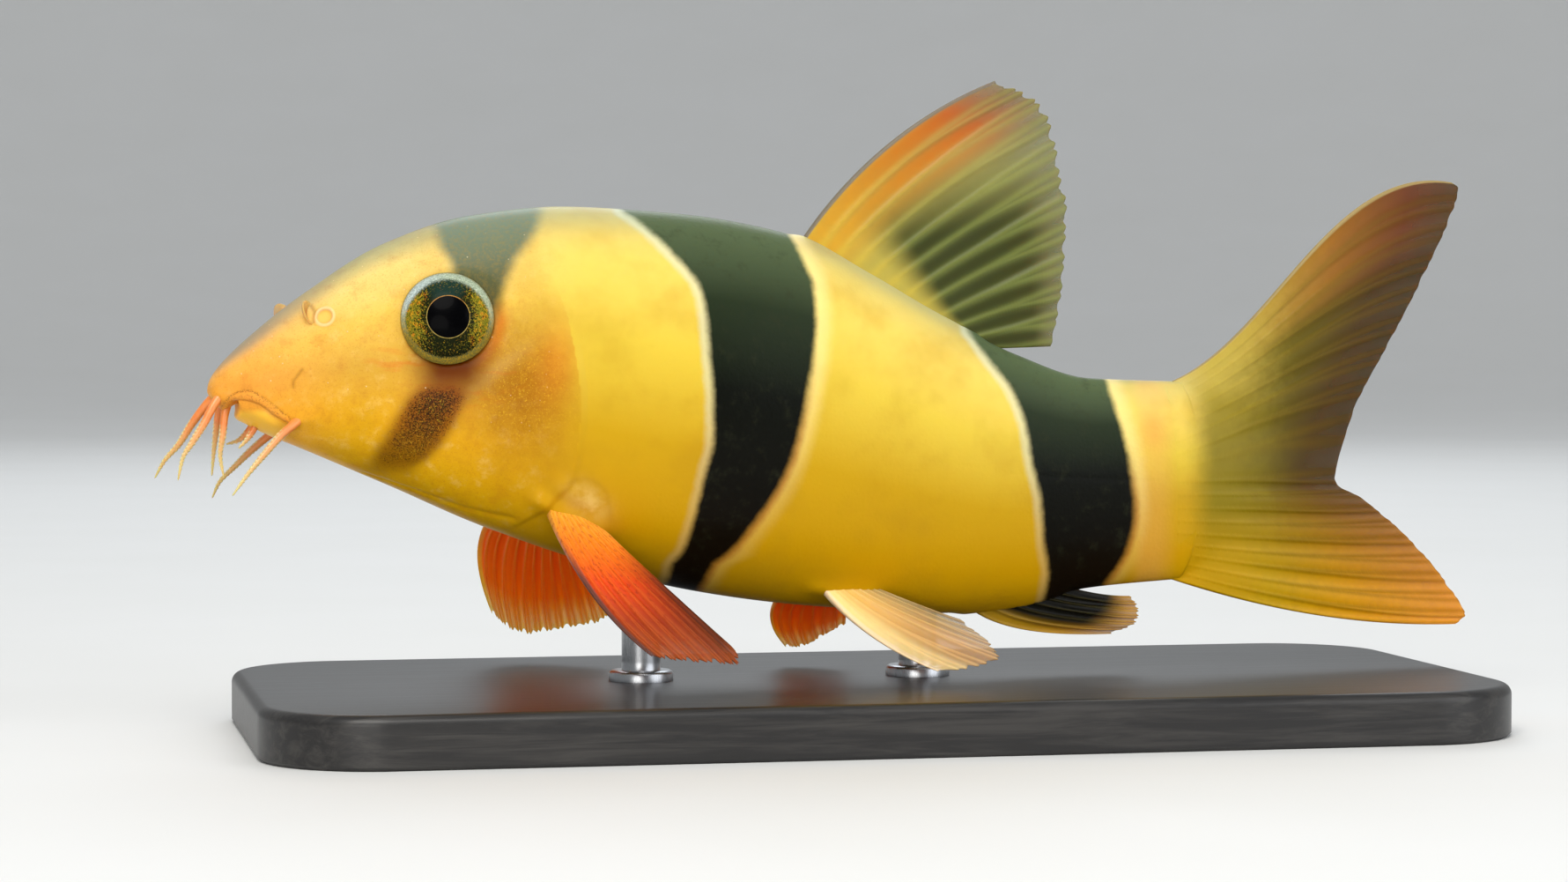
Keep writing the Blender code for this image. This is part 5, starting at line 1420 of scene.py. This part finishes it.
stand = {
    "size": (96.0, 44.0, 4.0), "corner": 9.0, "cornerSteps": 20, "bevel": 0.8, "foot": 0.3,
    "colour": (30, 29, 29), "sheen": (52, 50, 48),
    "rods": {"stand_rod_front": -17.5, "stand_rod_rear": 4.5}, "rodRadius": 1.5,
    "collarRadius": 2.5, "collarHeight": 0.8, "rodSides": 64, "steel": (172, 174, 178),
}


def lacquerMaterial():
    material, tree, shader = newMaterial(
        "blackLacquer", **{"Coat Weight": 0.2, "Coat Roughness": 0.2, "Specular IOR Level": 0.3})
    where = stretched(tree, (0.06, 1.0, 1.0))
    wood = grain(tree, 0.8, 5.0, 0.65, 0.6, where)
    paint = mixColour(tree, spread(tree, wood, 0.4, 0.7), stand["colour"], stand["sheen"])
    tree.links.new(paint, shader.inputs["Base Color"])
    tree.links.new(calculate(tree, "MULTIPLY_ADD", wood, 0.16, 0.34), shader.inputs["Roughness"])
    tree.links.new(bump(tree, wood, 0.05, 0.25), shader.inputs["Normal"])
    return material


def steelMaterial():
    material, tree, shader = newMaterial("brushedSteel", **{"Metallic": 1.0})
    lines = grain(tree, 0.1, 3.0, 0.6, 0.0, stretched(tree, (1.0, 1.0, 0.04)))
    paint = mixColour(tree, calculate(tree, "MULTIPLY", lines, 0.4), stand["steel"], (120, 122, 126))
    tree.links.new(paint, shader.inputs["Base Color"])
    tree.links.new(calculate(tree, "MULTIPLY_ADD", lines, 0.18, 0.2), shader.inputs["Roughness"])
    tree.links.new(bump(tree, lines, 0.01, 0.3), shader.inputs["Normal"])
    return material


def makeBase(material):
    halfX, halfY, top = stand["size"][0] / 2, stand["size"][1] / 2, stand["size"][2]
    corner, bevel, foot = stand["corner"], stand["bevel"], stand["foot"]
    profile = [(foot, 0.0), (0.0, foot)]
    for i in range(9):
        turn = math.pi / 2 * i / 8
        profile.append((bevel * (1 - math.cos(turn)), top - bevel + bevel * math.sin(turn)))
    profile.append((bevel + 0.4, top))
    points = []
    for inset, height in profile:
        for cx, cy, start in ((1, 1, 0), (-1, 1, 90), (-1, -1, 180), (1, -1, 270)):
            for k in range(stand["cornerSteps"] + 1):
                turn = math.radians(start + 90 * k / stand["cornerSteps"])
                points.append((cx * (halfX - corner) + (corner - inset) * math.cos(turn),
                               cy * (halfY - corner) + (corner - inset) * math.sin(turn), height))
    around = 4 * (stand["cornerSteps"] + 1)
    faces = ringFaces(len(profile), around)
    faces.append(list(range(around))[::-1])
    faces.append(list(range((len(profile) - 1) * around, len(profile) * around)))
    piece = makePiece("standBase", np.array(points) - snoutPlace, faces, material, ("stand_base",))
    tidy(piece)
    piece.data.set_sharp_from_angle(angle=math.radians(40))
    return piece


def makeRod(node, place, material):
    sides, radius = stand["rodSides"], stand["rodRadius"]
    turn = math.tau * np.arange(sides) / sides
    floor = stand["size"][2]
    x, y = radius * np.cos(turn), radius * np.sin(turn)
    behind = place - snoutPlace[0]
    back, belly, width, level, upper, lower = bodySection(behind + x)
    fall = (1 - (np.abs(y) / width) ** lower) ** (1 / lower)
    top = level - (level - belly) * fall + snoutPlace[2] + 0.35
    rings = []
    for share, height in ((1.0, 0.0), (1.0, 0.55), (0.97, 0.7), (0.9, stand["collarHeight"])):
        ring = np.stack([share * stand["collarRadius"] / radius * x, share * stand["collarRadius"] / radius * y,
                         floor + height + 0 * x], axis=-1)
        rings.append(ring)
    rings.append(np.stack([x * 1.02, y * 1.02, floor + stand["collarHeight"] + 0 * x], axis=-1))
    for share in np.linspace(0, 1, 12):
        low = floor + stand["collarHeight"] + 0.05
        rings.append(np.stack([x, y, low + (top - low) * share], axis=-1))
    points = np.concatenate(rings)
    points[:, 0] += place
    faces = ringFaces(len(rings), sides)
    faces.append(list(range(sides))[::-1])
    faces.append(list(range((len(rings) - 1) * sides, len(rings) * sides)))
    parts = node.split("_")
    name = parts[0] + "".join(part.capitalize() for part in parts[1:])
    piece = makePiece(name, points - snoutPlace, faces, material, (node,))
    tidy(piece)
    piece.data.set_sharp_from_angle(angle=math.radians(40))
    return piece


makeBase(lacquerMaterial())
brushedSteel = steelMaterial()
for node, place in stand["rods"].items():
    makeRod(node, place, brushedSteel)
print("stand made")


# Floor, light and camera

studio = {
    "floor": (224, 224, 222), "floorVein": (228, 228, 227), "flat": 0.7, "rise": 0.9, "turns": 128,
    "world": (228, 232, 236), "worldStrength": 0.58,
    # name, place in m, size in m, watts, colour
    "lights": (
        ("keyLight", (-0.16, -0.42, 0.5), 0.4, 3.1, (1.0, 0.97, 0.92)),
        ("fillLight", (0.42, -0.4, 0.2), 0.5, 1.4, (0.95, 0.97, 1.0)),
        ("lowLight", (-0.22, -0.5, 0.07), 0.3, 0.85, (1.0, 0.97, 0.92)),
        ("rimLight", (0.1, 0.45, 0.42), 0.4, 1.1, (0.9, 0.95, 1.0)),
    ),
    "aim": (0.0, 0.0, 0.024),
    "cameraPlace": (-0.06853, -0.29327, 0.03287), "cameraAim": (-0.0062, 0.0, 0.0224), "lens": 88.6,
}


def pointAt(thing, place, aim):
    thing.location = place
    thing.rotation_euler = (Vector(aim) - Vector(place)).to_track_quat("-Z", "Y").to_euler()


def makeFloor():
    # flat under the fish, and curved up all round so that no horizon shows
    profile = [(studio["flat"] * k / 8, 0.0) for k in range(1, 9)]
    for k in range(1, 17):
        turn = math.pi / 2 * k / 16
        profile.append((studio["flat"] + studio["rise"] * math.sin(turn), studio["rise"] * (1 - math.cos(turn))))
    turns = studio["turns"]
    turn = math.tau * np.arange(turns) / turns
    rings = [np.stack([reach * np.cos(turn), reach * np.sin(turn), height + 0 * turn], axis=-1)
             for reach, height in profile]
    points = np.concatenate([np.zeros((1, 3))] + rings)
    mesh = bpy.data.meshes.new("floor")
    mesh.from_pydata(points.tolist(), [], fanFaces(0, 1, turns) + ringFaces(len(rings), turns, 1))
    mesh.shade_smooth()
    material, tree, shader = newMaterial("paleFloor", **{"Roughness": 0.7})
    faint = grain(tree, 30.0, 2.0)
    tree.links.new(mixColour(tree, faint, studio["floor"], studio["floorVein"]), shader.inputs["Base Color"])
    mesh.materials.append(material)
    floor = bpy.data.objects.new("floor", mesh)
    bpy.context.scene.collection.objects.link(floor)


def makeLights():
    for name, place, size, watts, colour in studio["lights"]:
        lamp = bpy.data.lights.new(name, "AREA")
        lamp.shape = "DISK"
        lamp.size = size
        lamp.energy = watts
        lamp.color = colour
        thing = bpy.data.objects.new(name, lamp)
        bpy.context.scene.collection.objects.link(thing)
        pointAt(thing, place, studio["aim"])
    world = bpy.data.worlds.new("studio")
    world.use_nodes = True
    sky = world.node_tree.nodes["Background"]
    sky.inputs["Color"].default_value = linear(studio["world"])
    sky.inputs["Strength"].default_value = studio["worldStrength"]
    bpy.context.scene.world = world


def makeCamera():
    data = bpy.data.cameras.new("camera")
    data.lens = studio["lens"]
    data.clip_start = 0.001
    camera = bpy.data.objects.new("camera", data)
    bpy.context.scene.collection.objects.link(camera)
    pointAt(camera, studio["cameraPlace"], studio["cameraAim"])
    bpy.context.scene.camera = camera


makeFloor()
makeLights()
makeCamera()
bpy.context.scene.view_settings.view_transform = "Standard"
print("studio made")

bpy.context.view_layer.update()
